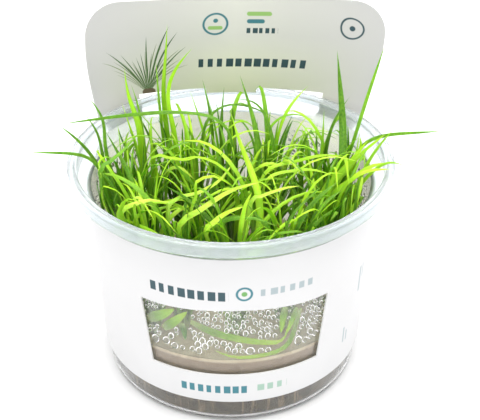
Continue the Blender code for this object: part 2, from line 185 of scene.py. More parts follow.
def new_material(name):
    """A material with a Principled shader, and its tree."""
    made = bpy.data.materials.new(name)
    made.use_nodes = True
    return made, made.node_tree


def dress(made, **inputs):
    """Sets or joins the inputs of a material's shader, and gives the material."""
    plug(made.node_tree, made.node_tree.nodes["Principled BSDF"], **inputs)
    return made


# %% Sums, colours and patterns
def numbered(values):
    """Inputs by their numbers."""
    return {f"i{k}": value for k, value in enumerate(values)}


def sums(tree, operation, *values, clamp=False):
    """The result of one sum on numbers."""
    settings = {"operation": operation, "use_clamp": clamp}
    return node(tree, "ShaderNodeMath", settings, **numbered(values))


def vectors(tree, operation, *values):
    """The result of one sum on vectors. A length is a number."""
    output = "Value" if operation == "LENGTH" else "Vector"
    return node(tree, "ShaderNodeVectorMath", {"operation": operation}, output, **numbered(values))


def axes(tree, vector):
    """The three numbers of a vector."""
    return node(tree, "ShaderNodeSeparateXYZ", Vector=vector).node.outputs[:]


def mix_colour(tree, share, low, high):
    """A colour between two others. In the Mix node, the colours are inputs 6 and 7 and output 2."""
    low, high = ((*one, 1.0) if isinstance(one, tuple) else one for one in (low, high))
    return node(tree, "ShaderNodeMix", {"data_type": "RGBA"}, 2, i0=share, i6=low, i7=high)


def ramp(tree, value, stops):
    """A colour ramp with (place, colour) stops."""
    made = node(tree, "ShaderNodeValToRGB", Fac=value)
    ends = made.node.color_ramp.elements
    while len(ends) < len(stops):
        ends.new(0.5)
    for end, (place, colour) in zip(ends, stops):
        end.position = place
        end.color = (*colour, 1.0)
    return made


def remap(tree, value, low, high, to_low=0.0, to_high=1.0):
    """A value between low and high, brought between two others."""
    return node(tree, "ShaderNodeMapRange", Value=value, i1=low, i2=high, i3=to_low, i4=to_high)


def noise(tree, place, scale, detail=2.0, rough=0.5):
    """A soft noise, with scale in waves per millimetre."""
    return node(tree, "ShaderNodeTexNoise", Vector=place, Scale=scale, Detail=detail, Roughness=rough)


def bump(tree, height, strength, distance):
    """Normals that follow a height."""
    return node(tree, "ShaderNodeBump", Strength=strength, Distance=distance, Height=height)


def object_place(tree, scale=(1, 1, 1)):
    """Object coordinates in millimetres, stretched by scale."""
    place = node(tree, "ShaderNodeTexCoord", output="Object")
    return node(tree, "ShaderNodeMapping", Vector=place, Scale=tuple(k / MM for k in scale))


# %% [markdown]
# ## The camera
#
# The photograph was taken from in front of the cup, looking down at about 32 degrees. The lens and the place
# come from fitting the ellipses of the rim, the sleeve and the base.

# %% Place the camera
FOCAL, SENSOR = 88.77, 36
EYE = Vector((0.0, -0.31786, 0.25285))
PITCH, YAW, ROLL = 0.5631, -0.0086, -0.0032


def place_camera():
    """The camera at the photograph's viewing angle."""
    data = bpy.data.cameras.new("camera")
    data.lens = FOCAL
    data.sensor_width = SENSOR
    data.clip_start = 10 * MM
    camera = new_object("camera", data)
    tilt = Matrix.Rotation(math.pi / 2 - PITCH, 4, "X")
    turn = Matrix.Rotation(YAW, 4, "Z") @ tilt @ Matrix.Rotation(ROLL, 4, "Z")
    camera.matrix_world = Matrix.Translation(EYE) @ turn
    bpy.context.scene.camera = camera
    print("camera looks down", round(math.degrees(PITCH), 1), "degrees")


place_camera()

# %% [markdown]
# ## The cup
#
# The cup is injection moulded from clear plastic: a flat base, a thin wall that tapers so that it leaves the
# mould, a step out to the seat of the lid and a rim that turns down outside. A ring of points is raised from
# the base, and each step extrudes it and changes its size, as a potter raises a wall. Every corner is an arc,
# because moulded corners are round.

# %% The cup's sizes, in millimetres
SIDES = 160
BASE_RADIUS, BASE_CORNER = 40.8, 3.0
WALL = 0.8
WALL_TOP_Z, WALL_TOP_RADIUS = 64.6, 44.2
SEAT_Z, SEAT_RADIUS = 65.8, 48.2
RIM_RADIUS, RIM_Z, RIM_DROP, RIM_WALL = 50.5, 72.0, 3.8, 0.9
RIM_ROUND = 0.8
STEP_ROUND = 0.6
FOOT_RING = 36.0


WALL_RINGS = (12, 24, 36, 48, 60)


def wall_radius(z):
    """The outer radius of the tapered wall."""
    return BASE_RADIUS + (WALL_TOP_RADIUS - BASE_RADIUS) * z / WALL_TOP_Z


def arc(radius, z, corner, start, end, steps):
    """Points round (radius, z), from one angle to another in degrees."""
    turns = [math.radians(start + (end - start) * i / steps) for i in range(steps + 1)]
    return [(radius + corner * math.cos(a), z + corner * math.sin(a)) for a in turns]


# %% Raise a ring of points through a profile
def raise_profile(profile):
    """Extrudes a ring through (radius, z) points, in millimetres, and fills both ends."""
    begin()
    radius, z = profile[0]
    place = (0, 0, z * MM)
    bpy.ops.mesh.primitive_circle_add(vertices=SIDES, radius=radius * MM, fill_type="NGON", location=place)
    edit()
    for (r0, z0), (r1, z1) in zip(profile, profile[1:]):
        bpy.ops.mesh.extrude_edges_move(TRANSFORM_OT_translate={"value": (0, 0, (z1 - z0) * MM)})
        bpy.ops.transform.resize(value=(r1 / r0, r1 / r0, 1))
    bpy.ops.mesh.edge_face_add()
    face_outwards()


# %% The profile of the cup
def cup_profile():
    """Up the outside, over the rim and down the inside."""
    corner = wall_radius(BASE_CORNER) - BASE_CORNER
    outside = [(1.0, 0.0), (FOOT_RING, 0.0), *arc(corner, BASE_CORNER, BASE_CORNER, -90, 0, 8)]
    outside += [(wall_radius(z), z) for z in WALL_RINGS]
    step = arc(WALL_TOP_RADIUS + STEP_ROUND, WALL_TOP_Z - 0.1, STEP_ROUND, 180, 110, 4)
    step += arc(SEAT_RADIUS - STEP_ROUND, SEAT_Z + STEP_ROUND, STEP_ROUND, -75, 0, 4)
    under_z = RIM_Z - RIM_WALL - STEP_ROUND
    under = [(SEAT_RADIUS, under_z), *arc(RIM_RADIUS - RIM_WALL - STEP_ROUND, under_z, STEP_ROUND, 90, 0, 4)]
    half = RIM_WALL / 2
    lip = arc(RIM_RADIUS - half, RIM_Z - RIM_DROP + half, half, 180, 360, 6)
    top = arc(RIM_RADIUS - RIM_ROUND, RIM_Z - RIM_ROUND, RIM_ROUND, 0, 90, 6)
    top += arc(SEAT_RADIUS - WALL + RIM_ROUND, RIM_Z - RIM_ROUND, RIM_ROUND, 90, 180, 6)
    seat = arc(SEAT_RADIUS - WALL - STEP_ROUND, SEAT_Z + WALL + STEP_ROUND, STEP_ROUND, 0, -75, 4)
    inner = WALL_TOP_RADIUS - WALL + STEP_ROUND
    seat += arc(inner, WALL_TOP_Z + WALL - STEP_ROUND, STEP_ROUND, 110, 180, 4)
    inside = [(wall_radius(z) - WALL, z) for z in reversed(WALL_RINGS)]
    floor = arc(corner, BASE_CORNER, BASE_CORNER - WALL, 0, -90, 6)
    return [*outside, *step, *under, *lip, *top, *seat, *inside, *floor, (1.0, WALL)]


# %% [markdown]
# ### Clear plastic
#
# The plastic bends light like glass but isn't as clear: the rim is thick enough to look milky, and fine
# scuffs dull the shine. Transmission and the refractive index are plain values, and noise moves the rest.

# %% Clear plastic
MILKY_FROM_Z = 64.0
PLASTIC_IOR = 1.45


def clear_plastic():
    """A clear moulded plastic with a faint cool tint."""
    made, tree = new_material("clear plastic")
    place = object_place(tree)
    scuffs = noise(tree, place, scale=0.35, detail=6.0, rough=0.7)
    milky = remap(tree, axes(tree, place)[2], MILKY_FROM_Z, RIM_Z)
    return dress(
        made,
        Base_Color=mix_colour(tree, milky, (0.995, 0.997, 0.996), (0.96, 0.975, 0.98)),
        Roughness=remap(tree, scuffs, 0.35, 0.75, 0.03, 0.16),
        Normal=bump(tree, noise(tree, place, scale=0.12), 0.08, 0.001),
        Transmission_Weight=0.97,
        IOR=PLASTIC_IOR,
    )


def milky_plastic():
    """The same plastic where it is thick, round the rim: milky and cool."""
    made, tree = new_material("milky plastic")
    clouds = noise(tree, object_place(tree), scale=0.2, detail=4.0)
    return dress(
        made,
        Base_Color=ramp(tree, clouds, [(0.3, (0.88, 0.93, 0.97)), (0.7, (0.94, 0.97, 0.99))]),
        Roughness=remap(tree, clouds, 0.3, 0.7, 0.16, 0.22),
        Normal=bump(tree, clouds, 0.05, 0.0002),
        Transmission_Weight=0.84,
        IOR=PLASTIC_IOR,
    )


raise_profile(cup_profile())
cup = finish_piece("clear_cup", [clear_plastic(), milky_plastic()], smooth_angle=50)
for face in cup.data.polygons:
    face.material_index = 1 if face.center.z > MILKY_FROM_Z * MM else 0
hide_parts("cup")

# %% [markdown]
# ## The card
#
# The sleeve and its header are one piece of die-cut card. A card is cut and printed flat and only then folded
# or rolled, so it is made in that order here. A fine flat grid is the blank: the window, the slot and the
# places beside the header are deleted from it. Its flat place becomes the UV map, which the printing will
# follow. Then every point is rolled on to the cup, and Solidify gives the card its thickness.

# %% The card's sizes, in millimetres
CARD_GAP, CARD_THICKNESS, CARD_RADIUS = 0.45, 0.5, 45.0
CIRCUMFERENCE = math.tau * CARD_RADIUS
SLEEVE_BOTTOM_Z, SLEEVE_TOP_Z = 9.3, 64.2
WINDOW_LOW_Z, WINDOW_HIGH_Z = 20.3, 44.2
WINDOW_HALF_ANGLE = math.radians(39.2)
WINDOW_EDGE = (math.pi - WINDOW_HALF_ANGLE) * CARD_RADIUS
WINDOW_LOW_SHARE = 0.92
WINDOW_TURN, WINDOW_TURN_FADE = math.radians(1.25), math.radians(65)
WINDOW_BOW, BOW_FADE = 1.3, 6.0
FLARE_LOW_Z, FLARE_HIGH_Z = 48.0, 67.5
STRAP_RADIUS, STRAP_INNER, STRAP_OUTER = 51.0, 31.0, 46.5
STRAP_INNER_FADE, STRAP_OUTER_FADE = 22.0, 62.0
SLOT_TOP_Z, TONGUE_LOW_Z, TONGUE_HALF_WIDTH = 72.9, 70.9, 8.5
HEADER_HALF_WIDTH, HEADER_WIDEST_Z = 49.2, 92.0
HEADER_TOP_Z, HEADER_CORNER = 106.5, 11.5
HEADER_TOP_RADIUS, HEADER_UNROLL, HEADER_LEAN = 300.0, 0.3, 2.0
SEAM, SEAM_GAP = -62.0, 0.25
CARD_STEP = 1.6
UV_SIZE = 300.0


def split(breaks):
    """Places from the first break to the last, about CARD_STEP apart, with every break kept."""
    places = [breaks[0]]
    for low, high in zip(breaks, breaks[1:]):
        count = max(1, round((high - low) / CARD_STEP))
        places += [low + (high - low) * (i + 1) / count for i in range(count)]
    return places


def card_columns():
    """Places along the blank, from its seam. 0 is the middle of the back."""
    right = [TONGUE_HALF_WIDTH, STRAP_INNER, STRAP_OUTER]
    window = [WINDOW_EDGE, CIRCUMFERENCE / 2, CIRCUMFERENCE - WINDOW_EDGE]
    return split([SEAM, *[-x for x in reversed(right)], *right, *window, CIRCUMFERENCE + SEAM - SEAM_GAP])


def card_rows():
    """Heights of the blank's rows, closer together round the header's corners."""
    corner = HEADER_TOP_Z - HEADER_CORNER
    low = [SLEEVE_BOTTOM_Z, WINDOW_LOW_Z, WINDOW_HIGH_Z, SLEEVE_TOP_Z]
    high = [FLARE_HIGH_Z, TONGUE_LOW_Z, SLOT_TOP_Z, corner]
    return split(low + high) + [z for _, z in arc(0, corner, HEADER_CORNER, 0, 90, 12)[1:]]


# %% Where each point of the blank goes on the cup
def strap_share(along):
    """How much a place flares out: fully on the two straps that carry the header."""
    rise = blend(STRAP_INNER_FADE, STRAP_INNER, along)
    return rise * (1 - blend(STRAP_OUTER, STRAP_OUTER_FADE, along))


def on_sleeve(along, z):
    """A point of the card's inner face on the cup, along mm from the middle of the back."""
    near = (along + CIRCUMFERENCE / 2) % CIRCUMFERENCE - CIRCUMFERENCE / 2
    share = strap_share(abs(near)) * blend(FLARE_LOW_Z, FLARE_HIGH_Z, z)
    radius = wall_radius(z) + CARD_GAP
    radius += share * (STRAP_RADIUS - radius)
    turn = near / CARD_RADIUS * (1 - share) + near / STRAP_RADIUS * share
    return (radius * math.sin(turn), radius * math.cos(turn), z)


def header_width(z):
    """Half the header's width. Its sides lean out and its top corners are round."""
    corner = HEADER_TOP_Z - HEADER_CORNER
    if z > corner:
        return HEADER_HALF_WIDTH - HEADER_CORNER + math.sqrt(max(0.0, HEADER_CORNER**2 - (z - corner) ** 2))
    return STRAP_OUTER + (HEADER_HALF_WIDTH - STRAP_OUTER) * blend(SLEEVE_TOP_Z, HEADER_WIDEST_Z, z)


def on_header(across, z):
    """A point of the card's inner face above the sleeve. The header unrolls to almost flat."""
    t = straight(SLEEVE_TOP_Z, HEADER_TOP_Z, z) ** HEADER_UNROLL
    radius = 1 / (1 / STRAP_RADIUS + (1 / HEADER_TOP_RADIUS - 1 / STRAP_RADIUS) * t)
    strap_turn = STRAP_INNER / radius
    strap_y = math.sqrt(STRAP_RADIUS**2 - (radius * math.sin(strap_turn)) ** 2)
    turn = across / radius
    lean = HEADER_LEAN * blend(SLEEVE_TOP_Z, HEADER_TOP_Z, z)
    return (radius * math.sin(turn) + lean, strap_y + radius * (math.cos(turn) - math.cos(strap_turn)), z)


def window_bow(along, z):
    """How far the rows near the window's top rise towards its middle."""
    front = abs(math.pi - along / CARD_RADIUS)
    rise = WINDOW_BOW * (1 - blend(0, WINDOW_HALF_ANGLE, front))
    return rise * max(0.0, 1 - abs(z - WINDOW_HIGH_Z) / BOW_FADE)


def window_lean(along, z):
    """How far the columns shift: the window is narrower at its foot and turned a little."""
    signed = math.pi - along / CARD_RADIUS
    front = abs(signed)
    low = 1 - straight(WINDOW_LOW_Z, WINDOW_HIGH_Z, z)
    narrowing = min(front, WINDOW_HALF_ANGLE) * (1 - WINDOW_LOW_SHARE) * low
    fade = 1 - blend(WINDOW_HALF_ANGLE, WINDOW_TURN_FADE, front)
    return (math.copysign(narrowing, signed) - WINDOW_TURN) * fade * CARD_RADIUS


def rolled(along, z):
    """Where a point of the flat blank lies on the cup, in millimetres."""
    if z > SLEEVE_TOP_Z:
        return on_header(along * header_width(z) / STRAP_OUTER, z)
    return on_sleeve(along, z)


# %% Cut out the flat blank
def cut_away(along, z):
    """Whether the die cuts this place of the blank out."""
    beside_header = z > SLEEVE_TOP_Z and abs(along) > STRAP_OUTER
    window = WINDOW_EDGE < along < CIRCUMFERENCE - WINDOW_EDGE and WINDOW_LOW_Z < z < WINDOW_HIGH_Z
    in_slot = SLEEVE_TOP_Z < z < SLOT_TOP_Z and abs(along) < STRAP_INNER
    tongue = z > TONGUE_LOW_Z and abs(along) < TONGUE_HALF_WIDTH
    return beside_header or window or (in_slot and not tongue)


def make_blank():
    """A flat grid with the card's columns and rows, less what is cut away, and its UV map."""
    columns, rows = card_columns(), card_rows()
    across, up = len(columns) - 1, len(rows) - 1
    begin()
    bpy.ops.mesh.primitive_grid_add(x_subdivisions=across, y_subdivisions=up, size=1)
    mesh = bpy.context.object.data
    for vert in mesh.vertices:
        vert.co = (columns[round((vert.co.x + 0.5) * across)], rows[round((vert.co.y + 0.5) * up)], 0)
    edit("DESELECT")
    leave()
    for face in mesh.polygons:
        face.select = cut_away(face.center.x, face.center.y)
    bpy.ops.object.mode_set(mode="EDIT")
    bpy.ops.mesh.delete(type="FACE")
    leave()
    for vert in mesh.vertices:
        along, z, _ = vert.co
        vert.co = (along + window_lean(along, z), z + window_bow(along, z), 0)
    for loop, uv in zip(mesh.loops, mesh.uv_layers[0].data):
        place = mesh.vertices[loop.vertex_index].co
        uv.uv = ((place.x - SEAM) / UV_SIZE, place.y / UV_SIZE)
    return bpy.context.object


# %% Roll the card and give it its thickness
FACING = 0.4


def roll_card(card):
    """Rolls the blank on to the cup and thickens it outwards."""
    for vert in card.data.vertices:
        vert.co = Vector(rolled(vert.co.x, vert.co.y)) * MM
    face_outwards()
    back = max(card.data.polygons, key=lambda face: face.center.y + face.center.z)
    if back.normal.y < 0:
        edit()
        bpy.ops.mesh.flip_normals()
        leave()
    apply_modifier(card, "thickness", "SOLIDIFY", thickness=CARD_THICKNESS * MM, offset=1.0)


def sort_faces(card):
    """Material 0 is the outside, 1 the sleeve's inside, 2 the cut edge and 3 the header's face."""
    for face in card.data.polygons:
        facing = face.normal.dot(face.center.xy.to_3d().normalized())
        inside = 3 if face.center.z > SLEEVE_TOP_Z * MM else 1
        face.material_index = 0 if facing > FACING else inside if facing < -FACING else 2


# %% [markdown]
# ### Printing on the card
#
# Ink lies flat, so the printing is colour alone, drawn in the material with the flat place that the UV map
# keeps. Each motif is a group of nodes that puts out a mask: a rounded block, a row of blocks that stands
# where a line of words would be, a ring, and a fan of blades. None of them is a letter or a sign.

# %% The masks of the motifs
INK_EDGE = 0.12


def inside_of(tree, distance):
    """1 inside a shape and 0 outside it, from a distance in millimetres."""
    return remap(tree, distance, INK_EDGE, -INK_EDGE)


def chance(tree, seed):
    """A number from 0 to 1 that stays the same for one seed."""
    return node(tree, "ShaderNodeTexWhiteNoise", {"noise_dimensions": "1D"}, W=seed)


def block_mask(tree, place, centre, half_size, corner):
    """A rectangle with rounded corners."""
    offset = vectors(tree, "ABSOLUTE", vectors(tree, "SUBTRACT", place, centre))
    beyond = vectors(tree, "ADD", vectors(tree, "SUBTRACT", offset, half_size), corner)
    beyond = vectors(tree, "MAXIMUM", beyond, (0.0, 0.0, 0.0))
    flat = vectors(tree, "MULTIPLY", beyond, (1.0, 1.0, 0.0))
    return inside_of(tree, sums(tree, "SUBTRACT", vectors(tree, "LENGTH", flat), corner))


def row_mask(tree, place, start, length, half_height, pitch):
    """A row of blocks of uneven widths, the size of a line of words."""
    along, up, _ = axes(tree, vectors(tree, "SUBTRACT", place, start))
    in_row = sums(tree, "DIVIDE", along, pitch)
    seed = sums(tree, "ADD", sums(tree, "FLOOR", in_row), length)
    width = sums(tree, "MULTIPLY_ADD", chance(tree, seed), 0.35, 0.45)
    inked = sums(tree, "LESS_THAN", sums(tree, "FRACT", in_row), width)
    half = sums(tree, "MULTIPLY", length, 0.5)
    centred = sums(tree, "ABSOLUTE", sums(tree, "SUBTRACT", along, half))
    inked = sums(tree, "MULTIPLY", inked, sums(tree, "LESS_THAN", centred, half))
    above = sums(tree, "SUBTRACT", sums(tree, "ABSOLUTE", up), half_height)
    return sums(tree, "MULTIPLY", inked, inside_of(tree, above))


def ring_mask(tree, place, centre, radius, half_line):
    """A ring with a thin line."""
    away = vectors(tree, "LENGTH", vectors(tree, "SUBTRACT", place, centre))
    off = sums(tree, "ABSOLUTE", sums(tree, "SUBTRACT", away, radius))
    return inside_of(tree, sums(tree, "SUBTRACT", off, half_line))


def fan_mask(tree, place, centre, radius, blades, spread):
    """Blades that spread from one point, thinner towards their ends."""
    offset = vectors(tree, "SUBTRACT", place, centre)
    across, up, _ = axes(tree, offset)
    away = sums(tree, "DIVIDE", vectors(tree, "LENGTH", offset), radius)
    turn = sums(tree, "ARCTAN2", across, up)
    bent = sums(tree, "MULTIPLY_ADD", sums(tree, "MULTIPLY", turn, away), -0.35, turn)
    in_fan = sums(tree, "MULTIPLY", bent, blades)
    which = sums(tree, "ROUND", in_fan)
    reach = sums(tree, "MULTIPLY_ADD", chance(tree, which), 0.5, 0.5)
    off = sums(tree, "ABSOLUTE", sums(tree, "SUBTRACT", in_fan, which))
    slim = sums(tree, "MULTIPLY_ADD", sums(tree, "DIVIDE", away, reach), -0.4, 0.42)
    upward = sums(tree, "LESS_THAN", sums(tree, "ABSOLUTE", bent), spread)
    return sums(tree, "MULTIPLY", sums(tree, "LESS_THAN", off, slim), upward)


# %% The motifs as groups of nodes
def motif_group(name, mask, vector_inputs, float_inputs):
    """A node group that puts out one mask, from the place, vectors and numbers."""
    group = bpy.data.node_groups.new(name, "ShaderNodeTree")
    for label in ["Place", *vector_inputs, *float_inputs]:
        kind = "NodeSocketFloat" if label in float_inputs else "NodeSocketVector"
        group.interface.new_socket(label, in_out="INPUT", socket_type=kind)
    group.interface.new_socket("Mask", in_out="OUTPUT", socket_type="NodeSocketFloat")
    ins = group.nodes.new("NodeGroupInput").outputs[:-1]
    out = group.nodes.new("NodeGroupOutput").inputs[0]
    group.links.new(mask(group, *ins), out)
    return group


BLOCK = motif_group("printed block", block_mask, ["Centre", "Half size"], ["Round"])
ROW = motif_group("printed row", row_mask, ["Start"], ["Length", "Half height", "Pitch"])
RING = motif_group("printed ring", ring_mask, ["Centre"], ["Radius", "Half line"])
FAN = motif_group("printed fan", fan_mask, ["Centre"], ["Radius", "Blades", "Spread"])
print("printing motifs:", [group.name for group in (BLOCK, ROW, RING, FAN)])

# %% Inks and paper
SLATE_INK = (0.045, 0.085, 0.1)
TEAL_INK = (0.06, 0.2, 0.24)
GREEN_INK = (0.16, 0.36, 0.12)
PALE_INK = (0.33, 0.47, 0.39)
FAINT_INK = (0.36, 0.42, 0.44)
LEAFY_INK = (0.2, 0.26, 0.12)
STEM_INK = (0.08, 0.15, 0.06)
ROOT_INK = (0.16, 0.12, 0.08)
HEADER_GREEN = (0.3, 0.5, 0.16)
CARD_WHITE = (0.632, 0.63, 0.634)
# INSIDE_WHITE: white card with a yellow-green tint painted in for the light that the leaves cast inside the
# sleeve.
INSIDE_WHITE = (0.96, 0.97, 0.66)
HEADER_EDGE = (0.52, 0.515, 0.51)
HEADER_PAPER = (0.7, 0.69, 0.65)
# SHADED_CARD: painted green light that the leaves reflect on to the lower middle of the header.
SHADED_CARD = (0.92, 0.93, 0.7)
CLOUD_SHADE = 0.975

# Each row is a motif, its ink and the motif's inputs, in millimetres from the middle of the front or back.
FRONT_PRINT = [
    (ROW, SLATE_INK, (-25.5, 50.7), 24.5, 1.65, 3.06),
    (RING, TEAL_INK, (3.6, 51.6), 2.2, 0.35),
    (BLOCK, GREEN_INK, (3.6, 51.6), (0.85, 0.85), 0.8),
    (ROW, FAINT_INK, (8.4, 51.6), 18.0, 1.2, 3.0),
    (ROW, TEAL_INK, (-17.0, 14.3), 22.5, 1.45, 2.82),
    (ROW, PALE_INK, (8.0, 14.6), 10.0, 1.25, 3.3),
    (BLOCK, FAINT_INK, (51.0, 38.5), (0.65, 4.75), 0.4),
    (BLOCK, FAINT_INK, (53.4, 40.5), (0.35, 2.5), 0.3),
    (BLOCK, FAINT_INK, (42.6, 21.5), (0.4, 3.0), 0.3),
    (BLOCK, FAINT_INK, (44.4, 20.5), (0.35, 2.0), 0.3),
]
HEADER_PRINT = [
    (FAN, LEAFY_INK, (-28.0, 73.0), 19.0, 15.0, 0.72),
    (FAN, STEM_INK, (-27.6, 72.4), 26.0, 11.0, 0.5),
    (BLOCK, ROOT_INK, (-27.6, 73.4), (2.2, 1.3), 1.2),
    (RING, TEAL_INK, (-6.2, 97.4), 3.7, 0.35),
    (BLOCK, HEADER_GREEN, (-6.2, 96.0), (2.3, 0.65), 0.6),
    (BLOCK, TEAL_INK, (-6.2, 98.6), (0.75, 0.75), 0.7),
    (BLOCK, HEADER_GREEN, (7.6, 101.0), (4.0, 0.75), 0.7),
    (BLOCK, TEAL_INK, (6.4, 98.3), (2.8, 0.75), 0.7),
    (ROW, SLATE_INK, (3.6, 94.9), 9.8, 0.95, 1.95),
    (RING, SLATE_INK, (36.4, 96.8), 3.5, 0.3),
    (BLOCK, SLATE_INK, (36.4, 96.8), (0.9, 0.9), 0.9),
    (ROW, SLATE_INK, (-11.0, 82.9), 35.5, 1.55, 2.96),
]
INSIDE_PRINT = [(ROW, SLATE_INK, (21.0, z), 13.0, 0.55, 1.5) for z in (56.0, 53.6, 51.2)]


def print_on(tree, paper, place, layers):
    """The paper's colour with each motif laid over it in turn."""
    for group, ink, *values in layers:
        mask = node(tree, "ShaderNodeGroup", {"node_tree": group}, Place=place)
        for socket, value in zip(mask.node.inputs[1:], values):
            socket.default_value = (*value, 0.0) if isinstance(value, tuple) else value
        paper = mix_colour(tree, mask, paper, ink)
    return paper


def card_base(name, white=CARD_WHITE):
    """A card material with fine fibres, its tree, its flat place in millimetres and its paper."""
    made, tree = new_material(name)
    uv = node(tree, "ShaderNodeUVMap", {"uv_map": "UVMap"})
    flat = node(tree, "ShaderNodeMapping", Vector=uv, Scale=(UV_SIZE,) * 3)
    fibres = noise(tree, flat, scale=1.6, detail=5.0, rough=0.65)
    rough = remap(tree, fibres, 0.3, 0.7, 0.36, 0.5)
    dress(made, Roughness=rough, Normal=bump(tree, fibres, 0.12, 0.0002), Specular_IOR_Level=0.2)
    clouds = remap(tree, noise(tree, flat, scale=0.05), 0.35, 0.65)
    return made, tree, flat, mix_colour(tree, clouds, white, tuple(k * CLOUD_SHADE for k in white))


# %% The four finishes of the card
FRONT = CIRCUMFERENCE / 2 - SEAM
SHADE_LOW_Z, SHADE_HIGH_Z = 72.0, 93.0
SHADE_HALF_WIDTH = 46.0


def printed_outside():
    """White card with rows of blocks above and below the window and small ones on the side."""
    made, tree, flat, paper = card_base("printed card, outside")
    place = vectors(tree, "SUBTRACT", flat, (FRONT, 0.0, 0.0))
    place = vectors(tree, "MULTIPLY", place, (-1.0, 1.0, 0.0))
    return dress(made, Base_Color=print_on(tree, paper, place, FRONT_PRINT))


def header_face():
    """The header's face, paler in the middle and greener downwards with painted green light from the leaves,
    with its generic print.
    """
    made, tree, flat, _ = card_base("printed card, header")
    place = vectors(tree, "ADD", flat, (SEAM, 0.0, 0.0))
    across, up, _ = axes(tree, place)
    off = sums(tree, "ABSOLUTE", sums(tree, "DIVIDE", across, SHADE_HALF_WIDTH))
    middle = sums(tree, "SUBTRACT", 1.0, off, clamp=True)
    low = sums(tree, "MULTIPLY", remap(tree, up, SHADE_HIGH_Z, SHADE_LOW_Z), middle)
    paper = mix_colour(tree, middle, HEADER_EDGE, HEADER_PAPER)
    # Painted light: the lower middle takes the green that the leaves reflect on to the card.
    paper = mix_colour(tree, low, paper, SHADED_CARD)
    return dress(made, Base_Color=print_on(tree, paper, place, HEADER_PRINT))


def sleeve_inside():
    """The sleeve's inside: thin white card that light shines through, tinted yellow-green with painted leaf
    light, with small rows.
    """
    made, tree, flat, paper = card_base("printed card, inside", INSIDE_WHITE)
    place = vectors(tree, "ADD", flat, (SEAM, 0.0, 0.0))
    dress(made, Base_Color=print_on(tree, paper, place, INSIDE_PRINT))
    return dress(made, Subsurface_Weight=0.8, Subsurface_Radius=(1.0, 1.0, 0.85), Subsurface_Scale=0.005)


def cut_edge():
    """The cut edge of the card, where the grey core of the board shows."""
    made, tree, _, _ = card_base("cut card edge")
    core = noise(tree, object_place(tree), scale=2.0, detail=3.0)
    return dress(made, Base_Color=mix_colour(tree, core, (0.72, 0.72, 0.7), (0.8, 0.8, 0.78)))


# %% Build the card
CARD_FINISHES = [printed_outside(), sleeve_inside(), cut_edge(), header_face()]
card = make_blank()
roll_card(card)
card = finish_piece("printed_card", CARD_FINISHES, smooth_angle=30)
sort_faces(card)
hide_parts("card_sleeve")

# %% [markdown]
# ## The nutrient gel
#
# Agar is poured warm and sets in the shape of the cup's foot. At the wall it climbs a little, because it wets
# the plastic. It is raised from a ring like the cup. The gel is cloudy, so only a part of the light goes
# through it, and the rest comes back from the tan body of the gel.

# %% The gel's shape
GAP = 0.3
GEL_TOP_Z = 24.4
GEL_EDGE_RISE, GEL_EDGE_WIDTH = 0.6, 1.5

GEL_RINGS = (8, 14, 20)
GEL_SURFACE = (36, 28, 18, 8, 1)


def gel_profile():
    """Up the outside of the gel, round its raised edge and in to the middle."""
    shrink = WALL + GAP
    foot = arc(wall_radius(BASE_CORNER) - BASE_CORNER, BASE_CORNER, BASE_CORNER - shrink, -90, 0, 6)
    top = GEL_TOP_Z + GEL_EDGE_RISE
    edge = wall_radius(top) - shrink
    side = [(wall_radius(z) - shrink, z) for z in GEL_RINGS]
    steps = (0.25, 0.5, 0.75, 1)
    curve = [(edge - GEL_EDGE_WIDTH * t, GEL_TOP_Z + GEL_EDGE_RISE * (1 - t) ** 2) for t in steps]
    inner = [(radius, GEL_TOP_Z) for radius in GEL_SURFACE]
    return [(1, shrink), (20, shrink), *foot, *side, (edge, top), *curve, *inner]


# %% Cloudy gel
def cloudy_gel():
    """A tan jelly with pale vertical streaks where roots and cut medium show through, with painted shade at
    its foot and painted light on its top.
    """
    made, tree = new_material("nutrient gel")
    place = object_place(tree)
    height = axes(tree, place)[2]
    clouds = noise(tree, place, scale=0.16, detail=4.0)
    streaks = noise(tree, object_place(tree, (0.55, 0.55, 0.05)), scale=1.0, detail=4.0, rough=0.6)
    # Painted shade over the gel's own brown: the body is dark low down, where the card keeps the light out.
    colour = ramp(tree, clouds, [(0.3, (0.045, 0.032, 0.01)), (0.7, (0.1, 0.072, 0.024))])
    # Painted light: the top surface is much brighter than the body.
    painted_lit_top = ramp(tree, clouds, [(0.3, (0.74, 0.6, 0.4)), (0.7, (0.9, 0.8, 0.56))])
    colour = mix_colour(tree, remap(tree, streaks, 0.52, 0.72, 0.0, 0.55), colour, (0.6, 0.45, 0.24))
    # Painted shade: the gel grows lighter upwards from 8 to 19 mm.
    colour = mix_colour(tree, remap(tree, height, 8.0, 19.0), colour, (0.42, 0.31, 0.2))
    return dress(
        made,
        Base_Color=mix_colour(tree, remap(tree, height, 23.4, 24.2), colour, painted_lit_top),
        Roughness=remap(tree, clouds, 0.3, 0.7, 0.18, 0.4),
        Normal=bump(tree, noise(tree, place, scale=0.9, detail=4.0), 0.5, 0.0006),
        Transmission_Weight=0.1,
        Specular_IOR_Level=0.1,
        IOR=1.34,
    )


raise_profile(gel_profile())
gel = finish_piece("jelly", [cloudy_gel()], smooth_angle=45)
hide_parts("nutrient_gel")


# %% [markdown]
# ## The plantlets
#
# Each plantlet is a short crown with a fan of rush leaves. A solid has its main leaves with three flat sides.
# A copy of its mesh is merged and smoothed with Subdivision Surface, while the creased margins stay sharp and
# the tips stay in place. Between the main leaves stand many thinner ones. One thin blade is modelled from a
# small ring, and its copies are laid along curves that rise from the same crown.

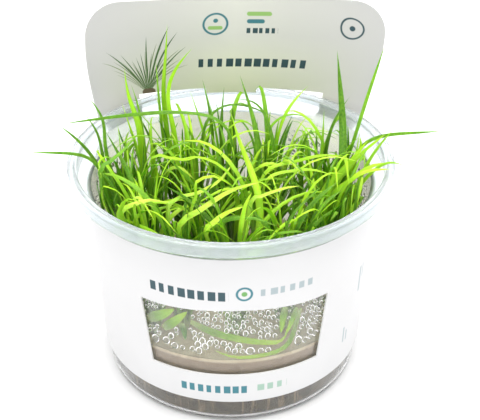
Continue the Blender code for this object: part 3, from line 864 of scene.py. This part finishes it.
# %% How a leaf of a solid is found again
CROWN_REACH = 3.6
MARGIN_ANGLE, MARGIN_CREASE = math.radians(100), 0.9
RING_REACH, RING_POINTS = 2.6, 3
LATE_WIDENING, WIDENING, TIP_START = 0.75, (0.35, 0.8), 0.9
MERGE, FLATNESS = 0.01, 0.7
CROWN_TONE = 0.35
LEAF_TONES, TONE_SPREAD = (0.08, 0.2, 0.38, 0.62, 0.86), 0.07
TIP_REACH = 3.0
TIP_TONES = (
    ((-54, 12, 77), 0.18), ((-62, -4, 76), 0.24), ((66, 4, 78), 0.27), ((-12, 27, 96), 0.68),
    ((-20, 33, 102), 0.55), ((-34, 28, 89), 0.58), ((34, 27, 95), 0.1), ((49, 25, 98), 0.32),
    ((3, 24, 88), 0.25), ((-7, 20, 82), 0.3), ((-9, 27, 85), 0.25), ((25, 24, 84), 0.62),
    ((0, 4, 85), 0.84), ((-39, 6, 78), 0.15), ((-54, 10, 78), 0.12), ((-47, 18, 78), 0.2),
    ((-45, 16, 85), 0.25), ((53, -11, 74), 0.5), ((51, 6, 78), 0.5), ((-24, 31, 90), 0.35),
    ((27, 15, 76), 0.3), ((1, 15, 84), 0.15), ((15, 18, 75), 0.93), ((36, -1, 72), 0.88),
    ((33, -8, 68), 0.9), ((-31, -19, 66), 0.86), ((-33, -25, 66), 0.8), ((42, 4, 71), 0.62),
)


def crown_of(mesh):
    """The middle of the lowest ring of points: the foot of the crown."""
    points = np.array([vert.co for vert in mesh.vertices])
    low = points[points[:, 2] < points[:, 2].min() + 0.1 * MM]
    return Vector(low.mean(axis=0))


def leaf_regions(mesh, crown):
    """For each point 0 near the crown, or else the number of its leaf."""
    beyond = [(vert.co - crown).length > CROWN_REACH * MM for vert in mesh.vertices]
    joined = {vert.index: [] for vert in mesh.vertices}
    for edge in mesh.edges:
        first, second = edge.vertices
        if beyond[first] and beyond[second]:
            joined[first].append(second)
            joined[second].append(first)
    region = [0] * len(beyond)
    count = 0
    for start in range(len(beyond)):
        if not beyond[start] or region[start]:
            continue
        count += 1
        waiting = [start]
        while waiting:
            point = waiting.pop()
            if not region[point]:
                region[point] = count
                waiting += joined[point]
    return region, count


def give_attribute(mesh, name, values):
    """Stores one number for each point."""
    attribute = mesh.attributes.new(name, "FLOAT", "POINT")
    attribute.data.foreach_set("value", values)


# %% Smooth a plantlet's main leaves
def copy_solid(name):
    """A merged copy of a solid's mesh, as the active object."""
    solid = bpy.data.objects[name]
    copy = activate(new_object("main_leaves", solid.data.copy()))
    copy.matrix_world = solid.matrix_world
    edit()
    bpy.ops.mesh.remove_doubles(threshold=MERGE * MM)
    bpy.ops.mesh.tris_convert_to_quads(face_threshold=FLATNESS, shape_threshold=FLATNESS)
    face_outwards()
    return copy


def crease_margins(mesh):
    """Creases the margins of the leaves and pins their tips, so that smoothing keeps both."""
    bm = bmesh.new()
    bm.from_mesh(mesh)
    edge_crease = bm.edges.layers.float.new("crease_edge")
    tip_crease = bm.verts.layers.float.new("crease_vert")
    for edge in bm.edges:
        if len(edge.link_faces) == 2 and edge.calc_face_angle() > MARGIN_ANGLE:
            edge[edge_crease] = MARGIN_CREASE
    for vert in bm.verts:
        if len(vert.link_edges) == RING_POINTS:
            vert[tip_crease] = 1.0
    bm.to_mesh(mesh)
    bm.free()


def keep_wide(mesh, region, along):
    """Widens the leaves' rings round their middles, so that they narrow later."""
    near = {vert.index: [vert.co] for vert in mesh.vertices}
    for edge in mesh.edges:
        first, second = (mesh.vertices[k] for k in edge.vertices)
        if (first.co - second.co).length < RING_REACH * MM:
            near[first.index].append(second.co)
            near[second.index].append(first.co)
    middles = {k: sum(points, Vector()) / len(points) for k, points in near.items()}
    for vert, number, t in zip(mesh.vertices, region, along):
        if number and len(near[vert.index]) == RING_POINTS:
            wider = 1 + LATE_WIDENING * blend(*WIDENING, t) * (1 - blend(TIP_START, 1.0, t))
            middle = middles[vert.index]
            vert.co = middle + (vert.co - middle) * wider


def tone_of(tip, draw):
    """The tone of a leaf by its tip: given for leaves that stand out, and chance for the others."""
    place, tone = min(TIP_TONES, key=lambda row: (Vector(row[0]) - tip / MM).length)
    by_chance = draw.choice(LEAF_TONES) + draw.uniform(-TONE_SPREAD, TONE_SPREAD)
    return tone if (Vector(place) - tip / MM).length < TIP_REACH else by_chance


def smooth_leaves(name, draw):
    """The main leaves of one plantlet, smoothed, with a tone for each leaf."""
    copy = copy_solid(name)
    mesh = copy.data
    crown = crown_of(mesh)
    region, count = leaf_regions(mesh, crown)
    tips = []
    for number in range(1, count + 1):
        leaf = [vert.co.copy() for vert, own in zip(mesh.vertices, region) if own == number]
        tips.append(max(leaf, key=lambda point: (point - crown).length))
    tones = [CROWN_TONE] + [tone_of(tip, draw) for tip in tips]
    reach = [max(CROWN_REACH * MM, (tip - crown).length) for tip in tips]
    give_attribute(mesh, "tone", [tones[r] for r in region])
    along = [(vert.co - crown).length / reach[r - 1] if r else 0.0 for vert, r in zip(mesh.vertices, region)]
    give_attribute(mesh, "along", along)
    keep_wide(mesh, region, along)
    crease_margins(mesh)
    apply_modifier(copy, "smooth", "SUBSURF", levels=2, render_levels=2)
    return copy, crown / MM


# %% Model one thin blade
BLADE_WIDTHS = (0.62, 0.8, 0.94, 1.0, 1.0, 0.97, 0.92, 0.85, 0.76, 0.64, 0.5, 0.33, 0.12)
BLADE_STEPS = len(BLADE_WIDTHS) - 1


def model_blade():
    """A straight blade one unit long and wide, with a keel on both sides and a pointed tip."""
    begin()
    bpy.ops.mesh.primitive_circle_add(vertices=4, radius=BLADE_WIDTHS[0] / 2, fill_type="NGON")
    edit()
    for low, high in zip(BLADE_WIDTHS, BLADE_WIDTHS[1:]):
        bpy.ops.mesh.extrude_region_move(TRANSFORM_OT_translate={"value": (0, 0, 1 / BLADE_STEPS)})
        bpy.ops.transform.resize(value=(high / low, high / low, 1))
    bpy.ops.mesh.merge(type="CENTER")
    face_outwards()
    return take_pattern()


BLADE_POINTS, BLADE_FACES = model_blade()
print("one blade:", len(BLADE_FACES), "faces")


# %% Lay blades along curves
THIN_THICKNESS = 0.42
LOOK_AHEAD = 0.02


def curve_point(knots, t):
    """A point of the smooth curve through the knots."""
    place = t * (len(knots) - 1)
    i = min(int(place), len(knots) - 2)
    u = place - i
    p1, p2 = knots[i], knots[i + 1]
    p0 = knots[i - 1] if i else 2 * p1 - p2
    p3 = knots[i + 2] if i + 2 < len(knots) else 2 * p2 - p1
    bend = 2 * p0 - 5 * p1 + 4 * p2 - p3
    sway = 3 * p1 - p0 - 3 * p2 + p3
    return 0.5 * (2 * p1 + (p2 - p0) * u + bend * u**2 + sway * u**3)


def lay_blade(knots, width, twist):
    """The points of one blade bent along the knots. Twist turns its face, in radians.

    A blade with no twist given lies flat against the wall of the cup.
    """
    first = (knots[-1] - knots[0]).normalized()
    side = first.cross(Vector((0, 0, 1)))
    side = side.normalized() if side.length > 0.05 else Vector((1, 0, 0))
    rings = []
    for step in range(BLADE_STEPS + 1):
        t = step / BLADE_STEPS
        ahead = curve_point(knots, min(1, t + LOOK_AHEAD)) - curve_point(knots, max(0, t - LOOK_AHEAD))
        ahead = ahead.normalized()
        centre = curve_point(knots, t)
        if twist is None:
            across = ahead.cross(centre.xy.to_3d()).normalized()
        else:
            side = (side - ahead * side.dot(ahead)).normalized()
            across = Matrix.Rotation(twist * t, 3, ahead) @ side
        rings.append((centre, across, ahead.cross(across)))
    laid = []
    for x, y, z in BLADE_POINTS:
        centre, across, over = rings[min(BLADE_STEPS, round(z * BLADE_STEPS))]
        laid.append(centre + across * x * width + over * y * THIN_THICKNESS)
    return laid


def blades_object(blades):
    """One object with every (knots, width, twist, tone) blade."""
    copies = [lay_blade(knots, width, twist) for knots, width, twist, _ in blades]
    piece = mesh_of_copies("thin_leaves", copies, BLADE_FACES)
    give_attribute(piece.data, "tone", [tone for *_, tone in blades for _ in BLADE_POINTS])
    give_attribute(piece.data, "along", list(BLADE_POINTS[:, 2]) * len(blades))
    return piece


# %% Thin leaves round each crown
# A shape has the share of the rise and of the reach at each knot. A kind has its count and its shape, then
# the ranges of its rise, reach and width, and its greatest twist.
UPRIGHT_SHAPE = ((0, 0), (0.35, 0.1), (0.7, 0.42), (0.92, 0.75), (1.0, 1.0))
LYING_SHAPE = ((0, 0), (0.4, 0.04), (0.74, 0.17), (0.93, 0.4), (1.0, 0.7), (0.96, 1.0))
UPRIGHT = (13, UPRIGHT_SHAPE, (18, 50), (2, 16), (0.7, 1.8), 1.5)
LYING = (8, LYING_SHAPE, (32, 51), (14, 32), (0.8, 1.9), 1.0)
WALL_CLEARANCE = 2.4
MIDDLE_CROWNS, OUTWARD_SPREAD = 8, 1.2
SWAY = 5
FOOT_RANGE, FOOT_RISE = (0.2, 1.2), 0.6
DARK_TONES, LYING_TONES = 2.2, (0.25, 0.93)


def keep_inside(point):
    """Moves a point in from the wall of the cup."""
    limit = wall_radius(min(point.z, WALL_TOP_Z)) - WALL - WALL_CLEARANCE
    away = math.hypot(point.x, point.y)
    if away > limit:
        point = Vector((point.x * limit / away, point.y * limit / away, point.z))
    return point


def thin_leaf(crown, turn, shape, rise, reach, draw):
    """Knots of one thin leaf."""
    away = Vector((math.cos(turn), math.sin(turn), 0))
    rise, reach = draw.uniform(*rise), draw.uniform(*reach)
    sway = Vector((-away.y, away.x, 0)) * draw.uniform(-SWAY, SWAY)
    foot = crown + away * draw.uniform(*FOOT_RANGE) + Vector((0, 0, FOOT_RISE))
    knots = [foot + Vector((0, 0, rise * up)) + away * reach * out + sway * out for up, out in shape]
    return [keep_inside(knot) for knot in knots]


def thin_leaves(crown, draw):
    """(knots, width, twist, tone) of a plantlet's thin leaves: upright ones, and brighter lying ones."""
    outwards = math.atan2(crown.y, crown.x)
    leaves = []
    for kind in (UPRIGHT, LYING):
        count, shape, rise, reach, width, twist = kind
        for _ in range(count):
            turned_out = kind is UPRIGHT and crown.xy.length > MIDDLE_CROWNS
            turn = draw.gauss(outwards, OUTWARD_SPREAD) if turned_out else draw.uniform(-math.pi, math.pi)
            knots = thin_leaf(crown, turn, shape, rise, reach, draw)
            size = (draw.uniform(*width), draw.uniform(-twist, twist))
            tone = draw.random() ** DARK_TONES if kind is UPRIGHT else draw.uniform(*LYING_TONES)
            leaves.append((knots, *size, tone))
    return leaves


# %% Leaves that press against the window
# Each has its width, its tone and its knots.
WALL_TOUCH = 0.32
WINDOW_LEAVES = [
    (2.6, 0.94, [(-11.9, -39.0, 38.8), (-6.0, -40.6, 35.9), (3.1, -40.9, 32.9), (12.8, -38.7, 30.2),
                 (16, -37.4, 32.5)]),
    (1.9, 0.95, [(20.0, -36.4, 41.0), (18.6, -36.9, 34.7), (16.8, -37.4, 28.8), (12.9, -38.6, 26.4),
                 (5.3, -40.2, 25.9), (-0.5, -40.6, 26.5), (-5.5, -40.2, 28.8)]),
    (3.4, 0.8, [(-25.4, -32.9, 34.7), (-20.8, -36.3, 38.8), (-17.0, -38.5, 42.4)]),
    (3.0, 0.85, [(-20.4, -36.0, 33.5), (-16.8, -38.0, 37.8), (-13.0, -39.6, 42.4)]),
    (2.0, 0.12, [(-14.5, -38.6, 37.5), (-14.2, -38.8, 34.4), (-13.9, -38.7, 31.2)]),
    (2.4, 0.75, [(15.4, -39.0, 43.2), (14.9, -39.0, 38.8), (14.3, -38.8, 33.3)]),
    (2.0, 0.85, [(18.9, -37.4, 41.9), (17.5, -37.8, 36.8), (15.5, -38.2, 31.7)]),
]


# %% Leaves that cross in front of the others
# Each starts at the crown that is nearest to its first knot. Width, tone and knots are given.
CROSSING_LEAVES = [
    (2.2, 0.85, [(-31.7, -30, 67.3), (-31.6, -31, 72.7), (-29.4, -31, 75.8), (-25.5, -31, 74.4),
                 (-21.9, -31, 73)]),
    (2.0, 0.95, [(-30.7, -28, 65.3), (-31.3, -29, 70.5), (-28.6, -29, 72.5), (-23.5, -27, 72.9),
                 (-18.5, -25, 70.6)]),
    (1.8, 0.7, [(-28.6, -27, 64), (-26.7, -26, 67.5), (-28.2, -27, 71.9), (-31.3, -29, 74.2)]),
    (2.4, 0.9, [(-15.5, -30, 65.1), (-9.1, -27, 69.3), (0.2, -22, 73), (9.1, -17, 72.7)]),
    (1.7, 0.93, [(-19.1, -20, 66.1), (-9.4, -14, 67.5), (-3.4, -8, 68.1), (0.6, -3, 71.2)]),
    (2.0, 0.6, [(20.2, 5, 61.6), (20.9, 8, 69.4), (23.9, 10, 76.1), (26.8, 10, 74), (28.8, 9, 69.5)]),
    (2.8, 0.62, [(28.1, -6, 60.9), (32.9, -4, 66.8), (37.1, -3, 71.9), (41.8, -2, 78.3)]),
    (2.6, 0.75, [(30.2, -10, 61.9), (35.6, -9, 67.6), (42.2, -8, 72.4), (48.2, -8, 73.6)]),
    (2.4, 0.55, [(32.3, 0, 59.4), (37.2, 2, 66.9), (42.1, 3, 72.3), (48.0, 4, 77.1)]),
    (2.2, 0.8, [(33.0, -12, 64.5), (36.4, -12, 70.8), (41.7, -12, 73.4), (47.6, -12, 73.8)]),
    (2.6, 0.05, [(15.1, -34, 64.7), (17.4, -31, 69.6), (21.5, -29, 73.7), (26.1, -27, 77.2)]),
    (2.8, 0.1, [(18.6, -32, 64.7), (21.6, -29, 69.6), (25.6, -27, 73.8), (30.8, -25, 77.3)]),
    (2.4, 0.15, [(22.8, -30, 64.8), (25.1, -28, 69), (28.1, -26, 71.8), (32.2, -24, 73.9)]),
    (2.6, 0.96, [(1.7, 22, 68.4), (-0.2, 26, 73.6), (3.1, 28, 75.9), (8.3, 28, 73.6), (13.6, 27, 70.8)]),
    (2.0, 0.7, [(2.4, -33, 64.1), (3.3, -30, 69.1), (4.2, -28, 71.9), (6.0, -26, 74.7)]),
    (1.8, 0.8, [(-12.1, -25, 66.7), (-10.3, -23, 71.7), (-10.2, -22, 75.8), (-5, -22, 77.8),
                (0.2, -22, 74.4)]),
    (2.4, 0.88, [(-7.4, -33, 64.2), (-5, -31, 67.7), (-1, -29, 69.8), (4.2, -27, 70.6)]),
    (1.8, 0.92, [(5.5, -20, 66.5), (9.1, -18, 68.4), (16, -16, 69.9), (20.6, -15, 70)]),
    (1.6, 0.3, [(-39.3, -12, 72.2), (-35.8, -8, 75.4), (-32.5, -4, 76.6), (-27.7, 0, 80.6)]),
    (1.6, 0.75, [(-25, 0, 70.7), (-18.8, 0, 71.4), (-13.8, -2, 71.8), (-9.5, -2, 73.1)]),
]


def against_wall(knot):
    """A knot moved until a blade there just clears the inside of the wall."""
    away = Vector((knot[0], knot[1], 0)).normalized()
    return away * (wall_radius(knot[2]) - WALL - WALL_TOUCH) + Vector((0, 0, knot[2]))


def nearest_plantlet(crowns, point):
    """The plantlet whose crown is nearest to a point."""
    return min(crowns, key=lambda name: (crowns[name].xy - point.xy).length)


# %% Green of the leaves
LEAF_GREENS = [
    (0.0, (0.045, 0.15, 0.01)),
    (0.25, (0.085, 0.25, 0.012)),
    (0.5, (0.25, 0.51, 0.015)),
    (0.8, (0.38, 0.72, 0.015)),
    (0.98, (0.52, 0.8, 0.08)),
]
# The second colour is painted shade for the lower parts of the leaves.
STREAK_GREEN, PAINTED_SHADE_GREEN = (0.45, 0.74, 0.05), (0.04, 0.17, 0.01)
FOOT_GREEN, STEM_BROWN = (0.45, 0.56, 0.22), (0.24, 0.09, 0.04)
STEM_TONE = 0.965


def leaf_green():
    """A living green: each leaf its own tone, with painted shade on its lower part, paler at its foot, with
    fine lengthwise streaks.
    """
    made, tree = new_material("rush leaf")
    tone = node(tree, "ShaderNodeAttribute", {"attribute_name": "tone"}, "Fac")
    along = node(tree, "ShaderNodeAttribute", {"attribute_name": "along"}, "Fac")
    mottled = noise(tree, object_place(tree), scale=0.22, detail=3.0)
    shift = sums(tree, "MULTIPLY_ADD", mottled, 0.3, -0.15)
    green = ramp(tree, sums(tree, "ADD", tone, shift, clamp=True), LEAF_GREENS)
    streaks = noise(tree, object_place(tree, (1.0, 1.0, 0.12)), scale=2.6, detail=3.0)
    green = mix_colour(tree, remap(tree, streaks, 0.35, 0.65, 0.0, 0.22), green, STREAK_GREEN)
    # Painted shade: each leaf darkens on its lower part, where the tuft shades it.
    green = mix_colour(tree, remap(tree, along, 0.15, 0.7, 0.75, 0.0), green, PAINTED_SHADE_GREEN)
    green = mix_colour(tree, remap(tree, along, 0.05, 0.32, 0.8, 0.0), green, FOOT_GREEN)
    return dress(
        made,
        Base_Color=mix_colour(tree, sums(tree, "GREATER_THAN", tone, STEM_TONE), green, STEM_BROWN),
        Roughness=remap(tree, streaks, 0.3, 0.7, 0.36, 0.56),
        Normal=bump(tree, streaks, 0.25, 0.0002),
        Specular_IOR_Level=0.22,
        Subsurface_Weight=0.45,
        Subsurface_Radius=(0.4, 1.0, 0.1),
        Subsurface_Scale=0.0008,
    )


# %% Build every plantlet
PLANT_SEED = 11
CROSSING_TWIST = 0.4
CROSSING_BOW = -0.2


def crossing_path(crown, knots):
    """The knots of a crossing leaf, with two more that bring it up from its crown."""
    path = [Vector(knot) for knot in knots]
    foot = crown + Vector((0, 0, 1))
    bowed = foot.lerp(path[0], 0.5) + (path[0] - foot).xy.to_3d() * CROSSING_BOW
    return [foot, keep_inside(bowed), *path]


def build_plantlets(finish):
    """Each plantlet with its main, thin and window leaves joined in one mesh."""
    draw = random.Random(PLANT_SEED)
    mains, crowns = {}, {}
    for name in PLANTLETS:
        mains[name], crowns[name] = smooth_leaves(name, draw)
    blades = {name: thin_leaves(crowns[name], draw) for name in PLANTLETS}
    for width, tone, knots in WINDOW_LEAVES:
        path = [against_wall(knot) for knot in knots]
        blades[nearest_plantlet(crowns, path[-1])].append((path, width, None, tone))
    for width, tone, knots in CROSSING_LEAVES:
        name = nearest_plantlet(crowns, Vector(knots[0]))
        blades[name].append((crossing_path(crowns[name], knots), width, CROSSING_TWIST, tone))
    for name in PLANTLETS:
        blades_object(blades[name])
        mains[name].select_set(True)
        bpy.context.view_layer.objects.active = mains[name]
        bpy.ops.object.join()
        piece = finish_piece(name.replace("rush_plantlet", "rush"), [finish], smooth_angle=50)
        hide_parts(name)


build_plantlets(leaf_green())


# %% [markdown]
# ## Droplets on the wall
#
# The closed cup sweats. Beads of water cover the inside of the wall, dense and fine high up and larger lower
# down, where they have run together. One dome is modelled from a ball that is cut flat. Its copies stand on
# the wall, joined in one mesh.

# %% Model one drop
DOME_CUT = 0.03


def model_drop():
    """A dome one unit across that stands on the plane z = 0."""
    begin()
    bpy.ops.mesh.primitive_uv_sphere_add(segments=12, ring_count=8, radius=0.5)
    edit()
    cut = {"plane_co": (0, 0, DOME_CUT), "plane_no": (0, 0, 1)}
    bpy.ops.mesh.bisect(**cut, use_fill=True, clear_inner=True)
    bpy.ops.mesh.select_all(action="SELECT")
    bpy.ops.transform.translate(value=(0, 0, -DOME_CUT))
    face_outwards()
    return take_pattern()


DROP_POINTS, DROP_FACES = model_drop()
print("one drop:", len(DROP_FACES), "faces")

# %% Scatter the drops
DROP_LOW_Z, DROP_FINE_Z, DROP_HIGH_Z = 28.0, 40.0, 60.0
LARGE_DROP, FINE_DROP = 3.1, 1.45
DROPS_TRIED, DROP_GAPS = 8000, 0.5
DROPS_APART = 0.53
LOW_CROWDING = 1.4
FRONT_SHARE, FRONT_TURN = 0.7, 0.75
DROP_OFF_WALL = 0.03
DROP_RISE = 1.12
DROP_SPREAD, DROP_STRETCH = (0.6, 1.1), (0.9, 1.35)
DROP_SEED = 5
LEAF_MARKS = 24


def clear_of(placed, along, z, size):
    """Whether a drop here keeps off all that are placed."""
    return all(
        (along - other_along) ** 2 + (z - other_z) ** 2 >= ((size + other) * DROPS_APART) ** 2
        for other_along, other_z, other in placed
    )


def pressed_leaves():
    """(place along the wall, z, size) of round marks over the leaves against the wall."""
    marks = []
    for width, _, knots in WINDOW_LEAVES:
        path = [Vector(knot) for knot in knots]
        for step in range(LEAF_MARKS + 1):
            point = curve_point(path, step / LEAF_MARKS)
            marks.append((math.atan2(point.x, -point.y) * CARD_RADIUS, point.z, width))
    return marks


def scatter_drops(draw):
    """(place along the wall, z, size) of each drop: large low down, and finer with height."""
    marks = pressed_leaves()
    placed = list(marks)
    for _ in range(DROPS_TRIED):
        widest = FRONT_TURN if draw.random() < FRONT_SHARE else math.pi
        along = draw.uniform(-widest, widest) * CARD_RADIUS
        z = DROP_LOW_Z + (DROP_HIGH_Z - DROP_LOW_Z) * draw.random() ** LOW_CROWDING
        high = straight(DROP_LOW_Z, DROP_FINE_Z, z)
        size = (LARGE_DROP + (FINE_DROP - LARGE_DROP) * math.sqrt(high)) * draw.uniform(*DROP_SPREAD)
        if draw.random() >= DROP_GAPS * (1 - high) and clear_of(placed, along, z, size):
            placed.append((along, z, size))
    return placed[len(marks):]


def build_drops(finish):
    """Every drop, standing on the inside of the wall, in one mesh."""
    draw = random.Random(DROP_SEED)
    copies = []
    for along, z, size in scatter_drops(draw):
        turn = along / CARD_RADIUS
        away = Vector((math.sin(turn), -math.cos(turn), 0))
        side = Vector((away.y, -away.x, 0))
        foot = away * (wall_radius(z) - WALL - DROP_OFF_WALL) + Vector((0, 0, z))
        up = Vector((0, 0, draw.uniform(*DROP_STRETCH)))
        inwards = -away * DROP_RISE
        copies.append([foot + size * (side * x + up * y + inwards * h) for x, y, h in DROP_POINTS])
    mesh_of_copies("droplets", copies, DROP_FACES)
    face_outwards()
    return finish_piece("droplets", [finish], smooth_angle=60)


# %% Water
def water():
    """Clear water."""
    made, tree = new_material("water")
    rough = remap(tree, noise(tree, object_place(tree), scale=1.2), 0.3, 0.7, 0.0, 0.04)
    return dress(made, Base_Color=(1.0, 1.0, 1.0, 1.0), Roughness=rough, Transmission_Weight=1.0, IOR=1.33)


drops = build_drops(water())

# %% [markdown]
# ## Floor and light
#
# The photograph is a product shot on plain white. A white floor meets a white world, and large soft lights
# from above, from the front and from the side give the pale shading of the card and the shine on the rim.

# %% The floor
FLOOR_SIZE, FLOOR_Z = 8, -0.0002


def make_floor():
    """A wide white sheet under the cup."""
    begin()
    bpy.ops.mesh.primitive_plane_add(size=FLOOR_SIZE, location=(0, 0, FLOOR_Z))
    floor = bpy.context.object
    floor.name = "floor"
    made, tree = new_material("white floor")
    grain = noise(tree, object_place(tree), scale=0.05, detail=3.0)
    colour = mix_colour(tree, grain, (0.86, 0.86, 0.86), (0.89, 0.89, 0.89))
    floor.data.materials.append(dress(made, Base_Color=colour, Roughness=0.7))


def add_light(name, place, size, power, target=(0, 0, 0.04)):
    """A square soft light that faces the cup."""
    data = bpy.data.lights.new(name, "AREA")
    data.shape = "SQUARE"
    data.size = size
    data.energy = power
    light = new_object(name, data)
    light.location = place
    light.rotation_euler = (Vector(target) - Vector(place)).to_track_quat("-Z", "Y").to_euler()


make_floor()
add_light("front", (0.0, -1.1, 0.75), 0.9, 2.2)
add_light("left", (-0.8, -0.4, 0.9), 0.6, 0.6)
add_light("top", (0.05, 0.0, 1.05), 1.2, 15.0)

# %% The world and the view
world = bpy.data.worlds.new("white room")
world.use_nodes = True
world.node_tree.nodes["Background"].inputs["Color"].default_value = (1, 1, 1, 1)
world.node_tree.nodes["Background"].inputs["Strength"].default_value = 1.0
bpy.context.scene.world = world
scene = bpy.context.scene
scene.view_settings.view_transform = "Standard"
scene.view_settings.look = "None"
scene.cycles.transparent_max_bounces = 16
scene.cycles.transmission_bounces = 14
scene.cycles.max_bounces = 16
print("scene is lit")
